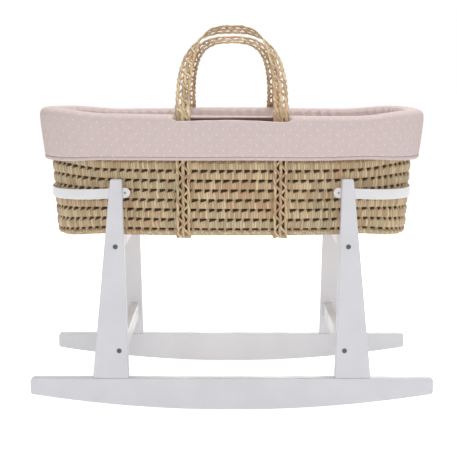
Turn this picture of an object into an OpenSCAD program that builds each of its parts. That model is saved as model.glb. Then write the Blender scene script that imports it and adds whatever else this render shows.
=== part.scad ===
// Rocking stand with its palm-leaf moses basket, fabric liner and mattress, in millimetres.
// The origin is on the floor under the middle of the stand: +Z is up, X runs along the rockers
// and the front is towards -Y. The basket stands on the upper crossbars and lifts off.

/* [Rockers] */
// Length of each rocker from end to end
rocker_len = 855; // [760:5:940]
// Height of a rocker at its middle
rocker_h = 68; // [60:1:84]
// Height of a rocker at its two ends
rocker_end_h = 34; // [26:1:44]
// Radius of the corners at the rocker's ends
rocker_corner_r = 6; // [3:0.5:10]
// Length of the flat under the middle of each rocker, on which the stand comes to rest
rest_flat = 70; // [40:5:100]
// How much further apart the rockers' middles are than the basket is wide
rocker_room = 32; // [24:1:60]
// Thickness of the boards that rockers and legs are cut from
board_t = 25; // [20:1:30]

/* [Legs] */
// Height of a leg above its rocker
leg_h = 423; // [400:1:445]
// Distance from the middle of the stand to the inner edge of a leg's foot
leg_foot_x = 218.5; // [210:0.5:226]
// Width of a leg at its foot
leg_foot_w = 76; // [66:1:86]
// Width of a leg at its top
leg_top_w = 24; // [22:1:34]
// How far a leg's inner edge leans outwards from foot to top
leg_lean = 11; // [0:1:20]

/* [Crossbars] */
// Width of a crossbar
bar_w = 20; // [18:1:26]
// Height of a crossbar
bar_h = 36; // [32:1:44]
// Height of the lower crossbars' middle above the floor
low_bar_z = 128; // [118:1:150]
// Distance from the leg tops down to the upper crossbars' top, on which the basket stands
basket_drop = 123; // [110:1:140]
// Distance from a leg's inner edge to the middle of a crossbar
bar_inset = 18; // [15:0.5:21]

/* [End hoops] */
// Height of the strip that a hoop is bent from
hoop_h = 22; // [16:1:28]
// Thickness of the strip
hoop_t = 4; // [3:0.5:6]
// Distance from the leg tops down to the hoop's middle, where it is screwed to the legs
hoop_drop = 31; // [24:1:44]
// How far a hoop's rounded tip reaches past the middle of the leg
hoop_tip = 29; // [26:1:36]
// Length over which a hoop bends round the basket's end
hoop_bend_len = 140; // [120:5:150]
// Squareness of that bend: 2 is an ellipse, larger is boxier
hoop_n = 2.2; // [2.1:0.1:2.8]
// Angle by which a hoop droops towards the basket's end
hoop_droop = 3; // [0:0.5:6]
// Diameter of the spare hole in a hoop's tip
hoop_hole_d = 4.5; // [3:0.5:6]

/* [Fasteners] */
// Diameter of the crossbar bolts
bolt_d = 6; // [5:1:8]
// Length of a crossbar bolt under its head
bolt_len = 60; // [55:1:66]
// Diameter of a bolt's head
bolt_head_d = 11; // [10:0.5:14]
// Thickness of a bolt's head
bolt_head_t = 3.2; // [2.5:0.1:5]
// Width across flats of the hexagon socket in a bolt's head
bolt_socket_w = 4; // [3:0.5:5]
// Depth of the socket
bolt_socket_depth = 1.9; // [1.5:0.1:3]
// Diameter of the barrel nuts
nut_d = 10; // [9:0.5:12]
// Length of a barrel nut
nut_len = 16; // [12:1:18]
// Distance from a crossbar's end to the middle of its barrel nut
nut_depth = 30; // [26:1:33]
// Diameter of the dowels between crossbars and legs
bar_dowel_d = 8; // [6:0.5:8]
// Length of the dowels between crossbars and legs
bar_dowel_len = 30; // [24:1:36]
// Distance from a crossbar bolt up to the dowel beside it
bar_dowel_rise = 10.5; // [9:0.5:12]
// Diameter of the dowels between legs and rockers
leg_dowel_d = 10; // [8:0.5:12]
// Length of the dowels between legs and rockers
leg_dowel_len = 50; // [40:2:56]
// Distance from a leg foot's edges to its dowels
leg_dowel_inset = 15; // [12:1:20]
// Diameter of the screws that hold the rockers to the legs
rocker_screw_d = 6.5; // [5:0.5:8]
// Length of those screws under their heads
rocker_screw_len = 84; // [74:2:96]
// Diameter of those screws' heads
rocker_screw_head_d = 10; // [9:0.5:12]
// Thickness of those screws' heads
rocker_screw_head_t = 4; // [3:0.5:5]
// Depth of the counterbore for a rocker screw's head, above the lowest point of the curve there
rocker_screw_sink = 10; // [8:1:14]
// Diameter of the hoop screws
hoop_screw_d = 4; // [3:0.5:5]
// Length of a hoop screw under its head
hoop_screw_len = 18; // [14:1:22]
// Diameter of a hoop screw's head
hoop_screw_head_d = 8; // [7:0.5:10]
// Thickness of a hoop screw's head
hoop_screw_head_t = 2.4; // [2:0.2:3]

/* [Basket] */
// Length of the basket at its bottom
basket_len = 778; // [740:2:800]
// Width of the basket at its bottom
basket_w = 418; // [360:2:480]
// Height of the basket from its bottom to its rim
basket_h = 249; // [220:1:270]
// How far the wall leans outwards from bottom to rim
basket_flare = 18; // [10:1:24]
// Squareness of the oval: 2 is an ellipse, larger is boxier
oval_n = 2.8; // [2.4:0.1:3.2]
// Height of one coiled course of the wall
course_h = 20.7; // [18:0.1:24]
// Height of the lowest joint between courses above the base
joint_rise = 4.2; // [4:0.1:12]
// Depth of the groove along a joint
joint_depth = 4.6; // [2:0.2:6]
// Height of the groove's mouth, half of it over the joint
joint_w = 7; // [4:0.5:8]
// How far the basket's ends hang under its middle at the bottom
end_droop = 12.5; // [0:0.5:16]
// How far its rim rises at the ends
end_lift = 9.5; // [0:0.5:16]
// How much its courses spread at the ends, for their distance from the level one
end_spread = 0.185; // [0:0.005:0.25]
// Height of the level course above the basket's foot
level_rise = 90; // [60:5:120]
// Thickness of the palm-leaf wall
wall_t = 10; // [8:0.5:12]
// Thickness of the palm-leaf base
base_t = 12; // [8:1:16]
// How far the base's lower edge is drawn in
base_edge_in = 3; // [1:0.5:5]
// Height of that drawn-in edge
base_edge_h = 4; // [2:0.5:6]
// Diameter of the coil that finishes the rim
rim_coil_d = 14; // [12:0.5:18]

/* [Handles and straps] */
// Width of the braid that handles and carrying straps are made of
braid_w = 31; // [20:1:36]
// Thickness of the braid
braid_t = 6; // [4:0.5:7]
// Distance from the middle of the basket to each strap
strap_x = 102; // [85:1:125]
// Rise of a handle from its fold line to its top, along the handle
handle_rise = 228; // [200:2:250]
// Squareness of a handle's arch
arch_n = 2.9; // [2:0.1:3.2]
// How much a handle's foot swells on each side at its fold line
foot_swell = 0.3; // [0.2:0.1:1]
// Lean of the front handle from upright towards the middle
front_lean = 39; // [34:1:44]
// Lean of the rear handle from upright towards the middle
rear_lean = 46; // [40:1:50]

/* [Liner and mattress] */
// Thickness of the liner's cloth and wadding over the rim and outside
skirt_t = 5; // [3:0.5:6]
// Depth of the skirt that hangs outside, from the rim down
skirt_drop = 96; // [70:2:110]
// Height above the hem at which the skirt runs level round the ends
hem_level = 36; // [20:2:40]
// How far the skirt stands off the straps at its hem
hem_ease = 0.5; // [0.5:0.5:5]
// How far the skirt stands off the straps under the rim
rim_ease = 4.5; // [2:0.5:8]
// Roundness of the skirt's turn over the rim
skirt_round = 6; // [3:0.5:8]
// Thickness of the padded lining inside the wall
lining_t = 7; // [5:0.5:10]
// Depth of the gathers in the lining
gather_depth = 1.5; // [0:0.25:2.5]
// Number of gathers round the lining
gather_count = 24; // [12:12:24]
// Thickness of the mattress at its edge
mattress_edge_h = 26; // [18:1:34]
// Rise of the mattress's crown over its edge
mattress_crown = 8; // [3:1:14]
// How far the mattress's sides draw in at its seams
mattress_draw = 9; // [4:1:16]
// How far in from the seam the mattress reaches its full height
mattress_slope = 120; // [60:10:140]

/* [Clearances] */
// Gap between the basket and the stand, and between the basket's soft pieces
seat_gap = 0.3; // [0.2:0.1:0.5]
// Gap round a handle's foot at its fold line
fold_gap = 0.4; // [0.3:0.1:0.6]
// Distance past the upper crossbars at which the basket's ends begin to bend
end_room = 8; // [5:1:20]
// Gap between a hoop and the basket's end
hoop_gap = 1.2; // [1:0.1:3]
// Gap round a fastener in its hole, on the diameter
hole_gap = 0.6; // [0.2:0.1:0.8]
// Gap round a dowel, a nut or a thread, on the diameter
press_gap = 0.1; // [0.05:0.05:0.2]

/* [Hidden] */
$fn = 48;
oval_steps = 72;
arch_steps = 32;
arch_probe = 0.5;
coil_sides = 10;
curve_fn = 1440;
bend_steps = 36;
past = 1;

// Rockers: the underside is an arc that runs through both ends and the ends of the rest flat
rocker_rise = rocker_h - rocker_end_h;
curve_z = (pow(rocker_len / 2, 2) - pow(rest_flat / 2, 2) + pow(rocker_rise, 2)) / (2 * rocker_rise);
curve_r = sqrt(pow(rest_flat / 2, 2) + pow(curve_z, 2));
function underside(x) = curve_z - sqrt(pow(curve_r, 2) - pow(x, 2));

// Legs: straight edges from foot to top, on rockers set as far apart as the basket needs
leg_top = rocker_h + leg_h;
rocker_spacing = basket_w + rocker_room;
leg_face = (rocker_spacing - board_t) / 2;
foot_mid = leg_foot_x + leg_foot_w / 2;
function leg_inner(z) = leg_foot_x + leg_lean * (z - rocker_h) / leg_h;
function leg_width(z) = leg_foot_w + (leg_top_w - leg_foot_w) * (z - rocker_h) / leg_h;

// Crossbars: [distance from the middle, height] of the lower and the upper pair
basket_z = leg_top - basket_drop;
high_bar_z = basket_z - bar_h / 2;
function bar_place(z) = [leg_inner(z) + bar_inset, z];
bar_places = [bar_place(low_bar_z), bar_place(high_bar_z)];
screw_seat = underside(foot_mid) + rocker_screw_sink;

// Basket heights, and how far the wall has leaned out at a height
basket_foot = basket_z + seat_gap;
base_top = basket_foot + base_t;
rim_z = basket_foot + basket_h;
coil_foot = rim_z - rim_coil_d;
function wall_off(z) = basket_flare * (z - basket_foot) / basket_h;
rim_off = wall_off(rim_z);

// The basket's oval, grown by an offset: a superellipse by angle, and its half width at x
function signed_pow(v, e) = sign(v) * pow(abs(v), e);
function oval_point(off, angle) = [
    (basket_len / 2 + off) * signed_pow(cos(angle), 2 / oval_n),
    (basket_w / 2 + off) * signed_pow(sin(angle), 2 / oval_n)
];
function oval_y(x, off) = (basket_w / 2 + off) * pow(1 - pow(x / (basket_len / 2 + off), oval_n), 1 / oval_n);

// The basket's ends: how far into its bend a place is, and the height that a point takes there
end_start = bar_places[1][0] + bar_w / 2 + end_room;
function end_share(x) =
    let (t = min(max((abs(x) - end_start) / (basket_len / 2 - end_start), 0), 1))
    t * t * (3 - 2 * t);
function bent_z(x, z, level) =
    z + end_share(x) * min(max(end_spread * (z - level), -end_droop), end_lift);
wall_level = basket_foot + level_rise;

// Straps and handles: the fold line lies just over the liner's top
foot_d = braid_t + 2 * foot_swell;
liner_top = rim_z + seat_gap + skirt_t;
strap_low_y = oval_y(strap_x - braid_w / 2, 0) + seat_gap;
strap_high_y = oval_y(strap_x - braid_w / 2, wall_off(liner_top)) + seat_gap;
fold_y = strap_high_y + braid_t / 2;
fold_z = liner_top + fold_gap + foot_d / 2;

// Hoops: a U bent round the basket's end, inside the legs
hoop_z = leg_top - hoop_drop;
hoop_x = leg_inner(hoop_z) + leg_width(hoop_z) / 2;
hoop_side = leg_face - hoop_t / 2;
hoop_end = basket_len / 2 + wall_off(hoop_z + hoop_h / 2) + hoop_gap + hoop_t / 2;
tip_mid = hoop_x - hoop_tip + hoop_h / 2;

// Liner and mattress
hem_z = liner_top - skirt_drop;
strap_fall = oval_y(strap_x - braid_w / 2, rim_off) - oval_y(strap_x + braid_w / 2, rim_off);
skirt_in = 2 * seat_gap + braid_t + strap_fall;
lining_back = wall_t + seat_gap;
lining_front = lining_back + lining_t;
mattress_off = wall_off(base_top) - lining_front - gather_depth - seat_gap;

// Joints between the wall's courses, from the base up to the liner's hem
joint_count = floor((hem_z - base_top - joint_rise) / course_h + 1.5);
joints = [for (k = [0 : joint_count - 1]) base_top + joint_rise + k * course_h];

paint = [0.93, 0.93, 0.94];
bolt_grey = [0.42, 0.42, 0.44];
nut_steel = [0.66, 0.66, 0.67];
bare_wood = [0.80, 0.66, 0.47];
palm_leaf = [0.76, 0.64, 0.46];
palm_braid = [0.72, 0.59, 0.40];
pink_cotton = [0.84, 0.73, 0.73];
pale_cotton = [0.93, 0.91, 0.90];

// A cylinder along Y, from a face at y going inwards or outwards by its length
module along_y(d, len) {
    rotate([-90, 0, 0]) cylinder(d = d, h = len);
}

// Repeats its children at the front and rear rocker, with the outside towards -Y before mirroring
module front_and_rear() {
    for (turn = [0, 1]) mirror([0, turn, 0]) children();
}

// Repeats its children on the right and the left
module right_and_left() {
    for (turn = [0, 1]) mirror([turn, 0, 0]) children();
}

// What the end of a rocker loses under or over its rounded corner, whose middle is at z
module corner_waste(z, up) {
    difference() {
        translate([rocker_len / 2 - rocker_corner_r, -board_t, up ? z : z - rocker_h])
            cube([rocker_corner_r + past, 2 * board_t, rocker_h]);
        translate([rocker_len / 2 - rocker_corner_r, -board_t - past, z])
            along_y(2 * rocker_corner_r, 2 * (board_t + past));
    }
}

// One rocker about its own middle plane: straight on top, curved below, drilled for the legs
module rocker() {
    corner_x = rocker_len / 2 - rocker_corner_r;
    low_corner_z = curve_z - sqrt(pow(curve_r - rocker_corner_r, 2) - pow(corner_x, 2));
    color(paint) difference() {
        intersection() {
            translate([-rocker_len / 2, -board_t / 2, 0]) cube([rocker_len, board_t, rocker_h]);
            translate([0, -board_t, curve_z])
                rotate([-90, 0, 0]) cylinder(r = curve_r, h = 2 * board_t, $fn = curve_fn);
        }
        right_and_left() {
            corner_waste(rocker_h - rocker_corner_r, true);
            corner_waste(low_corner_z, false);
            leg_dowel_holes();
            translate([foot_mid, 0, 0]) cylinder(d = rocker_screw_d + hole_gap, h = rocker_h + past);
            translate([foot_mid, 0, -past])
                cylinder(d = rocker_screw_head_d + hole_gap, h = screw_seat + past);
        }
    }
}

// Holes for the two dowels between a leg and its rocker, half in each
module leg_dowel_holes() {
    for (x = [leg_foot_x + leg_dowel_inset, leg_foot_x + leg_foot_w - leg_dowel_inset])
        translate([x, 0, rocker_h])
            cylinder(d = leg_dowel_d + press_gap, h = leg_dowel_len + press_gap, center = true);
}

// One leg on the right, about its board's middle plane, with its outside towards -Y
module leg() {
    color(paint) difference() {
        rotate([90, 0, 0]) linear_extrude(height = board_t, center = true) polygon([
            [leg_foot_x, rocker_h],
            [leg_foot_x + leg_foot_w, rocker_h],
            [leg_inner(leg_top) + leg_top_w, leg_top],
            [leg_inner(leg_top), leg_top]
        ]);
        for (place = bar_places) translate([place[0], 0, place[1]]) {
            translate([0, -board_t / 2 - past, 0]) along_y(bolt_d + hole_gap, board_t + 2 * past);
            translate([0, -board_t / 2 - past, 0]) along_y(bolt_head_d + hole_gap, bolt_head_t + past);
            translate([0, board_t / 2 - (bar_dowel_len + press_gap) / 2, bar_dowel_rise])
                along_y(bar_dowel_d + press_gap, bar_dowel_len);
        }
        leg_dowel_holes();
        translate([foot_mid, 0, screw_seat])
            cylinder(d = rocker_screw_d + press_gap, h = rocker_screw_len + press_gap);
        translate([hoop_x, board_t / 2 - hoop_screw_len + hoop_t - press_gap, hoop_z])
            along_y(hoop_screw_d + press_gap, hoop_screw_len);
    }
}

// One crossbar, with bolt and dowel holes in both ends and nut holes drilled from below
module crossbar(place) {
    bolt_hole = bolt_len + bolt_head_t - board_t + hole_gap;
    color(paint) translate([place[0], 0, place[1]]) difference() {
        cube([bar_w, 2 * leg_face, bar_h], center = true);
        front_and_rear() {
            translate([0, -leg_face - past, 0]) along_y(bolt_d + hole_gap, bolt_hole + past);
            translate([0, -leg_face - past, bar_dowel_rise])
                along_y(bar_dowel_d + press_gap, (bar_dowel_len + press_gap) / 2 + past);
            translate([0, -leg_face + nut_depth, -bar_h / 2 - past])
                cylinder(d = nut_d + press_gap, h = (bar_h + nut_len + press_gap) / 2 + past);
        }
    }
}

// The U that a hoop follows in plan, filled and grown by half the strip
module hoop_plan(grow) {
    start = grow > 0 ? tip_mid - hoop_h : tip_mid - hoop_h - past;
    bend = [
        for (i = [-bend_steps : bend_steps])
            let (angle = 90 * i / bend_steps)
            [hoop_end - hoop_bend_len + (hoop_bend_len + grow) * pow(cos(angle), 2 / hoop_n),
                (hoop_side + grow) * signed_pow(sin(angle), 2 / hoop_n)]
    ];
    polygon(concat([[start, -hoop_side - grow]], bend, [[start, hoop_side + grow]]));
}

// One end hoop on the right: a strip with rounded, drilled tips, turned down about its screws
module end_hoop() {
    color(paint) translate([hoop_x, 0, hoop_z]) rotate([0, hoop_droop, 0]) translate([-hoop_x, 0, 0])
        difference() {
            intersection() {
                linear_extrude(height = hoop_h, center = true) difference() {
                    hoop_plan(hoop_t / 2);
                    hoop_plan(-hoop_t / 2);
                }
                union() {
                    translate([tip_mid, -leg_face - past, 0]) along_y(hoop_h, 2 * (leg_face + past));
                    translate([tip_mid, -leg_face - past, -hoop_h])
                        cube([hoop_end, 2 * (leg_face + past), 2 * hoop_h]);
                }
            }
            for (hole = [[tip_mid, hoop_hole_d], [hoop_x, hoop_screw_d + hole_gap]])
                translate([hole[0], -leg_face - past, 0]) along_y(hole[1], 2 * (leg_face + past));
        }
}

// One bolt with its head in a front leg on the right, its socket facing out
module crossbar_bolt() {
    difference() {
        union() {
            along_y(bolt_head_d, bolt_head_t);
            along_y(bolt_d, bolt_head_t + bolt_len);
        }
        translate([0, -past, 0]) rotate([-90, 0, 0])
            cylinder(d = bolt_socket_w / cos(30), h = bolt_socket_depth + past, $fn = 6);
    }
}

module crossbar_bolts() {
    color(bolt_grey) right_and_left() front_and_rear() for (place = bar_places)
        translate([place[0], -leg_face - board_t, place[1]]) crossbar_bolt();
}

// Barrel nuts: upright pins in the crossbars, cross-drilled for their bolts
module barrel_nuts() {
    color(nut_steel) right_and_left() front_and_rear() for (place = bar_places)
        translate([place[0], -leg_face + nut_depth, place[1]]) difference() {
            cylinder(d = nut_d, h = nut_len, center = true);
            translate([0, -nut_d, 0]) along_y(bolt_d + press_gap, 2 * nut_d);
        }
}

module crossbar_dowels() {
    color(bare_wood) right_and_left() front_and_rear() for (place = bar_places)
        translate([place[0], -leg_face - bar_dowel_len / 2, place[1] + bar_dowel_rise])
            along_y(bar_dowel_d, bar_dowel_len);
}

module leg_dowels() {
    color(bare_wood) right_and_left() front_and_rear()
        for (x = [leg_foot_x + leg_dowel_inset, leg_foot_x + leg_foot_w - leg_dowel_inset])
            translate([x, -rocker_spacing / 2, rocker_h])
                cylinder(d = leg_dowel_d, h = leg_dowel_len, center = true);
}

// Screws from below, through a rocker into the middle of a leg's foot
module rocker_screws() {
    color(nut_steel) right_and_left() front_and_rear() translate([foot_mid, -rocker_spacing / 2, screw_seat]) {
        cylinder(d = rocker_screw_d, h = rocker_screw_len);
        translate([0, 0, -rocker_screw_head_t]) cylinder(d = rocker_screw_head_d, h = rocker_screw_head_t);
    }
}

// Screws from the basket's side, through a hoop into the back of a leg
module hoop_screws() {
    color(nut_steel) right_and_left() front_and_rear()
        translate([hoop_x, -leg_face - hoop_screw_len + hoop_t, hoop_z]) {
            along_y(hoop_screw_d, hoop_screw_len);
            translate([0, hoop_screw_len, 0]) along_y(hoop_screw_head_d, hoop_screw_head_t);
        }
}

// Closed ring: a section of [offset, height, gather] points carried round the basket's oval
module oval_ring(section, level = wall_level) {
    m = len(section);
    points = [
        for (i = [0 : oval_steps - 1])
            let (angle = i * 360 / oval_steps)
            for (p = section)
                let (q = oval_point(p[0] + p[2] * sin(gather_count * angle), angle))
                [q[0], q[1], bent_z(q[0], p[1], level)]
    ];
    faces = [
        for (i = [0 : oval_steps - 1])
            for (j = [0 : m - 1])
                let (a = i * m + j, b = i * m + (j + 1) % m, next = (i + 1) % oval_steps)
                let (c = next * m + j, d = next * m + (j + 1) % m)
                each [[a, b, d], [a, d, c]]
    ];
    polyhedron(points = points, faces = faces);
}

// Closed stack: rings of [offset, height] from the bottom up, with ends in strips across the oval
module oval_stack(rings) {
    m = len(rings);
    points = [
        for (ring = rings)
            for (i = [0 : oval_steps - 1])
                let (q = oval_point(ring[0], i * 360 / oval_steps))
                [q[0], q[1], bent_z(q[0], ring[1], wall_level)]
    ];
    sides = [
        for (k = [0 : m - 2])
            for (i = [0 : oval_steps - 1])
                let (a = k * oval_steps + i, b = k * oval_steps + (i + 1) % oval_steps)
                each [[a, a + oval_steps, b + oval_steps], [a, b + oval_steps, b]]
    ];
    strips = [
        for (a = [0 : oval_steps / 2 - 1])
            let (b = a + 1, c = oval_steps - b, d = (oval_steps - a) % oval_steps)
            a == d ? [a, b, c] : b == c ? [a, b, d] : [a, b, c, d]
    ];
    top = [
        for (strip = strips)
            [for (k = [len(strip) - 1 : -1 : 0]) (m - 1) * oval_steps + strip[k]]
    ];
    polyhedron(points = points, faces = concat(sides, strips, top));
}

module basket_base() {
    color(palm_leaf) oval_stack([
        [wall_off(basket_foot) - base_edge_in, basket_foot],
        [wall_off(basket_foot) + seat_gap, basket_foot + base_edge_h],
        [wall_off(base_top), base_top]
    ]);
}

// The coiled wall, leaning out from the base to the foot of the rim coil, with a groove along each joint
module basket_wall() {
    grooves = [
        for (z = joints)
            each [
                [wall_off(z - joint_w / 2), z - joint_w / 2, 0],
                [wall_off(z) - joint_depth, z, 0],
                [wall_off(z + joint_w / 2), z + joint_w / 2, 0]
            ]
    ];
    inside = [
        [wall_off(coil_foot) - wall_t, coil_foot, 0],
        [wall_off(base_top) - wall_t, base_top + seat_gap, 0]
    ];
    foot = [[wall_off(base_top), base_top, 0]];
    head = [[wall_off(coil_foot), coil_foot, 0]];
    color(palm_leaf) oval_ring(concat(foot, grooves, head, inside));
}

// The rim coil, round in section, flush with the wall's outside
module basket_rim() {
    r = rim_coil_d / 2;
    color(palm_leaf) oval_ring([
        for (k = [0 : coil_sides - 1])
            let (angle = 90 - (k + 0.5) * 360 / coil_sides)
            [wall_off(coil_foot) - r + r * cos(angle), coil_foot + r + r * sin(angle), 0]
    ]);
}

// One strap on the right: up the front, under the base and up the rear
module carrying_strap() {
    strap_top = fold_z - foot_d / 2 - fold_gap;
    strap_foot = basket_foot - seat_gap;
    color(palm_braid) translate([strap_x, 0, 0])
        rotate([90, 0, 90]) linear_extrude(height = braid_w, center = true) polygon([
            [-strap_high_y - braid_t, strap_top],
            [-strap_low_y - braid_t, strap_foot - braid_t],
            [strap_low_y + braid_t, strap_foot - braid_t],
            [strap_high_y + braid_t, strap_top],
            [strap_high_y, strap_top],
            [strap_low_y, strap_foot],
            [-strap_low_y, strap_foot],
            [-strap_high_y, strap_top]
        ]);
}

// A handle's arch in its own plane at an angle from foot to foot: [across, up]
function arch_point(angle) = [
    strap_x * signed_pow(cos(angle), 2 / arch_n),
    handle_rise * pow(max(sin(angle), 0), 2 / arch_n)
];
function unit(v) = v / norm(v);
function arch_tangent(angle) =
    unit(arch_point(min(angle + arch_probe, 180)) - arch_point(max(angle - arch_probe, 0)));

// Four corners of the braid there: flat across at the feet, turned a quarter round at the top
function braid_corners(angle) =
    let (mid = arch_point(angle), along = arch_tangent(angle))
    let (out = [along[1], 0, -along[0]], side = [0, 1, 0])
    let (turn = 45 * (1 - cos(2 * min(angle, 180 - angle))))
    let (wide = out * cos(turn) + side * sin(turn), thick = side * cos(turn) - out * sin(turn))
    [for (s = [[1, 1], [1, -1], [-1, -1], [-1, 1]])
        [mid[0], 0, mid[1]] + wide * s[0] * braid_w / 2 + thick * s[1] * braid_t / 2];

// One handle: the braid swept over its arch, with round feet on the fold line
module handle(lean) {
    points = [for (i = [0 : arch_steps]) each braid_corners(i * 180 / arch_steps)];
    last = 4 * arch_steps;
    sides = [
        for (i = [0 : arch_steps - 1])
            for (j = [0 : 3])
                let (a = 4 * i + j, b = 4 * i + (j + 1) % 4)
                each [[a, b, b + 4], [a, b + 4, a + 4]]
    ];
    ends = [[3, 2, 1, 0], [last, last + 1, last + 2, last + 3]];
    color(palm_braid) translate([0, -fold_y, fold_z]) rotate([-lean, 0, 0]) {
        polyhedron(points = points, faces = concat(sides, ends));
        for (x = [-strap_x, strap_x])
            translate([x, 0, 0]) rotate([0, 90, 0]) cylinder(d = foot_d, h = braid_w, center = true);
    }
}

// The skirt: over the rim and down the outside to its hem, slotted where the straps come through
module liner_skirt() {
    hem_in = wall_off(hem_z) + skirt_in + hem_ease;
    rim_in = rim_off + skirt_in + rim_ease;
    cap_in = wall_off(coil_foot) - rim_coil_d;
    slot_depth = braid_t + 3 * fold_gap;
    color(pink_cotton) difference() {
        oval_ring([
            [hem_in, hem_z, 0],
            [wall_off(liner_top) + skirt_in, liner_top - skirt_t, 0],
            [cap_in, liner_top - skirt_t, 0],
            [cap_in, liner_top, 0],
            [rim_in - skirt_round, liner_top, 0],
            [rim_in + skirt_t - skirt_round / 2, liner_top - skirt_round / 2, 0],
            [rim_in + skirt_t, liner_top - 2 * skirt_round, 0],
            [hem_in + skirt_t, hem_z, 0]
        ], hem_z + hem_level);
        right_and_left() front_and_rear()
            translate([strap_x - braid_w / 2 - fold_gap, -strap_high_y - braid_t - fold_gap, rim_z])
                cube([braid_w + 2 * fold_gap, slot_depth, 2 * skirt_t]);
    }
}

// The lining: inside the rim coil and the wall, down to the base, gathered on its face
module liner_lining() {
    coil_in = wall_off(coil_foot) - rim_coil_d - seat_gap;
    color(pink_cotton) oval_ring([
        [coil_in, liner_top, 0],
        [coil_in - lining_t, liner_top, 0],
        [wall_off(coil_foot) - lining_front, coil_foot - rim_coil_d, gather_depth],
        [wall_off(base_top) - lining_front, base_top + seat_gap, gather_depth],
        [wall_off(base_top) - lining_back, base_top + seat_gap, 0],
        [wall_off(coil_foot) - lining_back - rim_coil_d / 2, coil_foot - rim_coil_d / 2, 0]
    ]);
}

// The mattress: a crowned pad whose sides draw in to its top and bottom seams
module mattress() {
    foot = base_top + seat_gap;
    sides = [
        for (v = [0 : 0.25 : 1])
            [mattress_off - mattress_draw * pow(2 * v - 1, 2), foot + mattress_edge_h * v]
    ];
    crown = [
        for (v = [0.25 : 0.25 : 1])
            [mattress_off - mattress_draw - mattress_slope * v,
                foot + mattress_edge_h + mattress_crown * (1 - pow(1 - v, 2))]
    ];
    color(pale_cotton) oval_stack(concat(sides, crown));
}

module at_front() {
    translate([0, -rocker_spacing / 2, 0]) children();
}

module at_rear() {
    mirror([0, 1, 0]) at_front() children();
}

module on_left() {
    mirror([1, 0, 0]) children();
}

at_front() rocker();  // front_rocker
at_rear() rocker();  // rear_rocker
on_left() at_front() leg();  // front_left_leg
at_front() leg();  // front_right_leg
on_left() at_rear() leg();  // rear_left_leg
at_rear() leg();  // rear_right_leg
on_left() crossbar(bar_places[0]);  // left_lower_crossbar
crossbar(bar_places[0]);  // right_lower_crossbar
on_left() crossbar(bar_places[1]);  // left_upper_crossbar
crossbar(bar_places[1]);  // right_upper_crossbar
on_left() end_hoop();  // left_end_hoop
end_hoop();  // right_end_hoop
crossbar_bolts();
barrel_nuts();
crossbar_dowels();
leg_dowels();
rocker_screws();
hoop_screws();
basket_base();
basket_wall();
basket_rim();
on_left() carrying_strap();  // left_carrying_strap
carrying_strap();  // right_carrying_strap
handle(front_lean);  // front_handle
mirror([0, 1, 0]) handle(rear_lean);  // rear_handle
liner_skirt();
liner_lining();
mattress();
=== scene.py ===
"""Looks of the rocking stand and its palm-leaf moses basket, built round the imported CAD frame, in metres."""
from functools import partial

import bpy
import numpy as np
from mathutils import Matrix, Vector


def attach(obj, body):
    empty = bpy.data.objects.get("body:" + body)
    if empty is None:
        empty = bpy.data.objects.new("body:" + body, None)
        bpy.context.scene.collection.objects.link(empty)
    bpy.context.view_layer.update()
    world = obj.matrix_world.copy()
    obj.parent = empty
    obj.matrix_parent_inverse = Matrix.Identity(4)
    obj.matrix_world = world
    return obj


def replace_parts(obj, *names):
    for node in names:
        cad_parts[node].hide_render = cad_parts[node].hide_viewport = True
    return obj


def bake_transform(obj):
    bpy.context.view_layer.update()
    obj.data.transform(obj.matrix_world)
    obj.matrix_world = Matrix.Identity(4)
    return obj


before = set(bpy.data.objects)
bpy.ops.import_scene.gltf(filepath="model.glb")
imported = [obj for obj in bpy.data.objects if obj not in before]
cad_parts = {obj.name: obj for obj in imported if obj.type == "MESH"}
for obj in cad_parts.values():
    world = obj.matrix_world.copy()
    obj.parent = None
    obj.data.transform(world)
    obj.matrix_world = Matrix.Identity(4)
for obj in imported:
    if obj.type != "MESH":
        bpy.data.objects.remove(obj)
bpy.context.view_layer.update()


# Rockers: two softwood boards, straight on top and curved below, with a short flat on which the stand rests.
# Their edges are eased by hand and they are sprayed in white satin paint, through which a little grain shows.
rocker_length, rocker_mid_h, rocker_end_h, rocker_corner = 0.855, 0.068, 0.034, 0.007
rest_flat, board_t, rocker_y = 0.070, 0.025, 0.225
board_ease, face_ease, tip_room, tip_drop, low_points = 0.0024, 0.0004, 0.012, 0.0006, 40
paint_white, paint_shade = (0.74, 0.74, 0.775), (0.71, 0.71, 0.745)


def surface(grid, around=False, closed=False, caps=False, uv=None):
    """Points, faces and face-corner UVs of a grid of points [row, column, xyz]. around joins the last column
    to the first, closed the last row to the first, caps fills both end rows. uv has a column or row more
    where the pattern has to run on over such a seam."""
    rows, cols = grid.shape[:2]
    row = np.arange(rows if closed else rows - 1)[:, None]
    col = np.arange(cols if around else cols - 1)[None, :]
    corners = [(row, col), (row, col + 1), (row + 1, col + 1), (row + 1, col)]
    faces = np.stack([(i % rows) * cols + j % cols for i, j in corners], -1).reshape(-1, 4).tolist()
    uv = np.zeros((rows + 1, cols + 1, 2)) if uv is None else uv
    uv = np.concatenate([uv, uv[:, :1]], 1) if uv.shape[1] == cols else uv
    uv = np.concatenate([uv, uv[:1]], 0) if uv.shape[0] == rows else uv
    places = np.stack([uv[i, j] for i, j in corners], 2).reshape(-1, 2)
    if caps:
        first, last = np.arange(cols)[::-1], (rows - 1) * cols + np.arange(cols)
        faces += [first.tolist(), last.tolist()]
        places = np.concatenate([places, uv[0, first], uv[rows - 1, :cols]])
    return grid.reshape(-1, 3), faces, places


def placed(name, data):
    """A new object in the scene."""
    made = bpy.data.objects.new(name, data)
    bpy.context.scene.collection.objects.link(made)
    return made


def meshed(name, points, faces):
    """A new mesh object in the scene."""
    mesh = bpy.data.meshes.new(name)
    mesh.from_pydata(points, [], faces)
    return placed(name, mesh)


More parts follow.
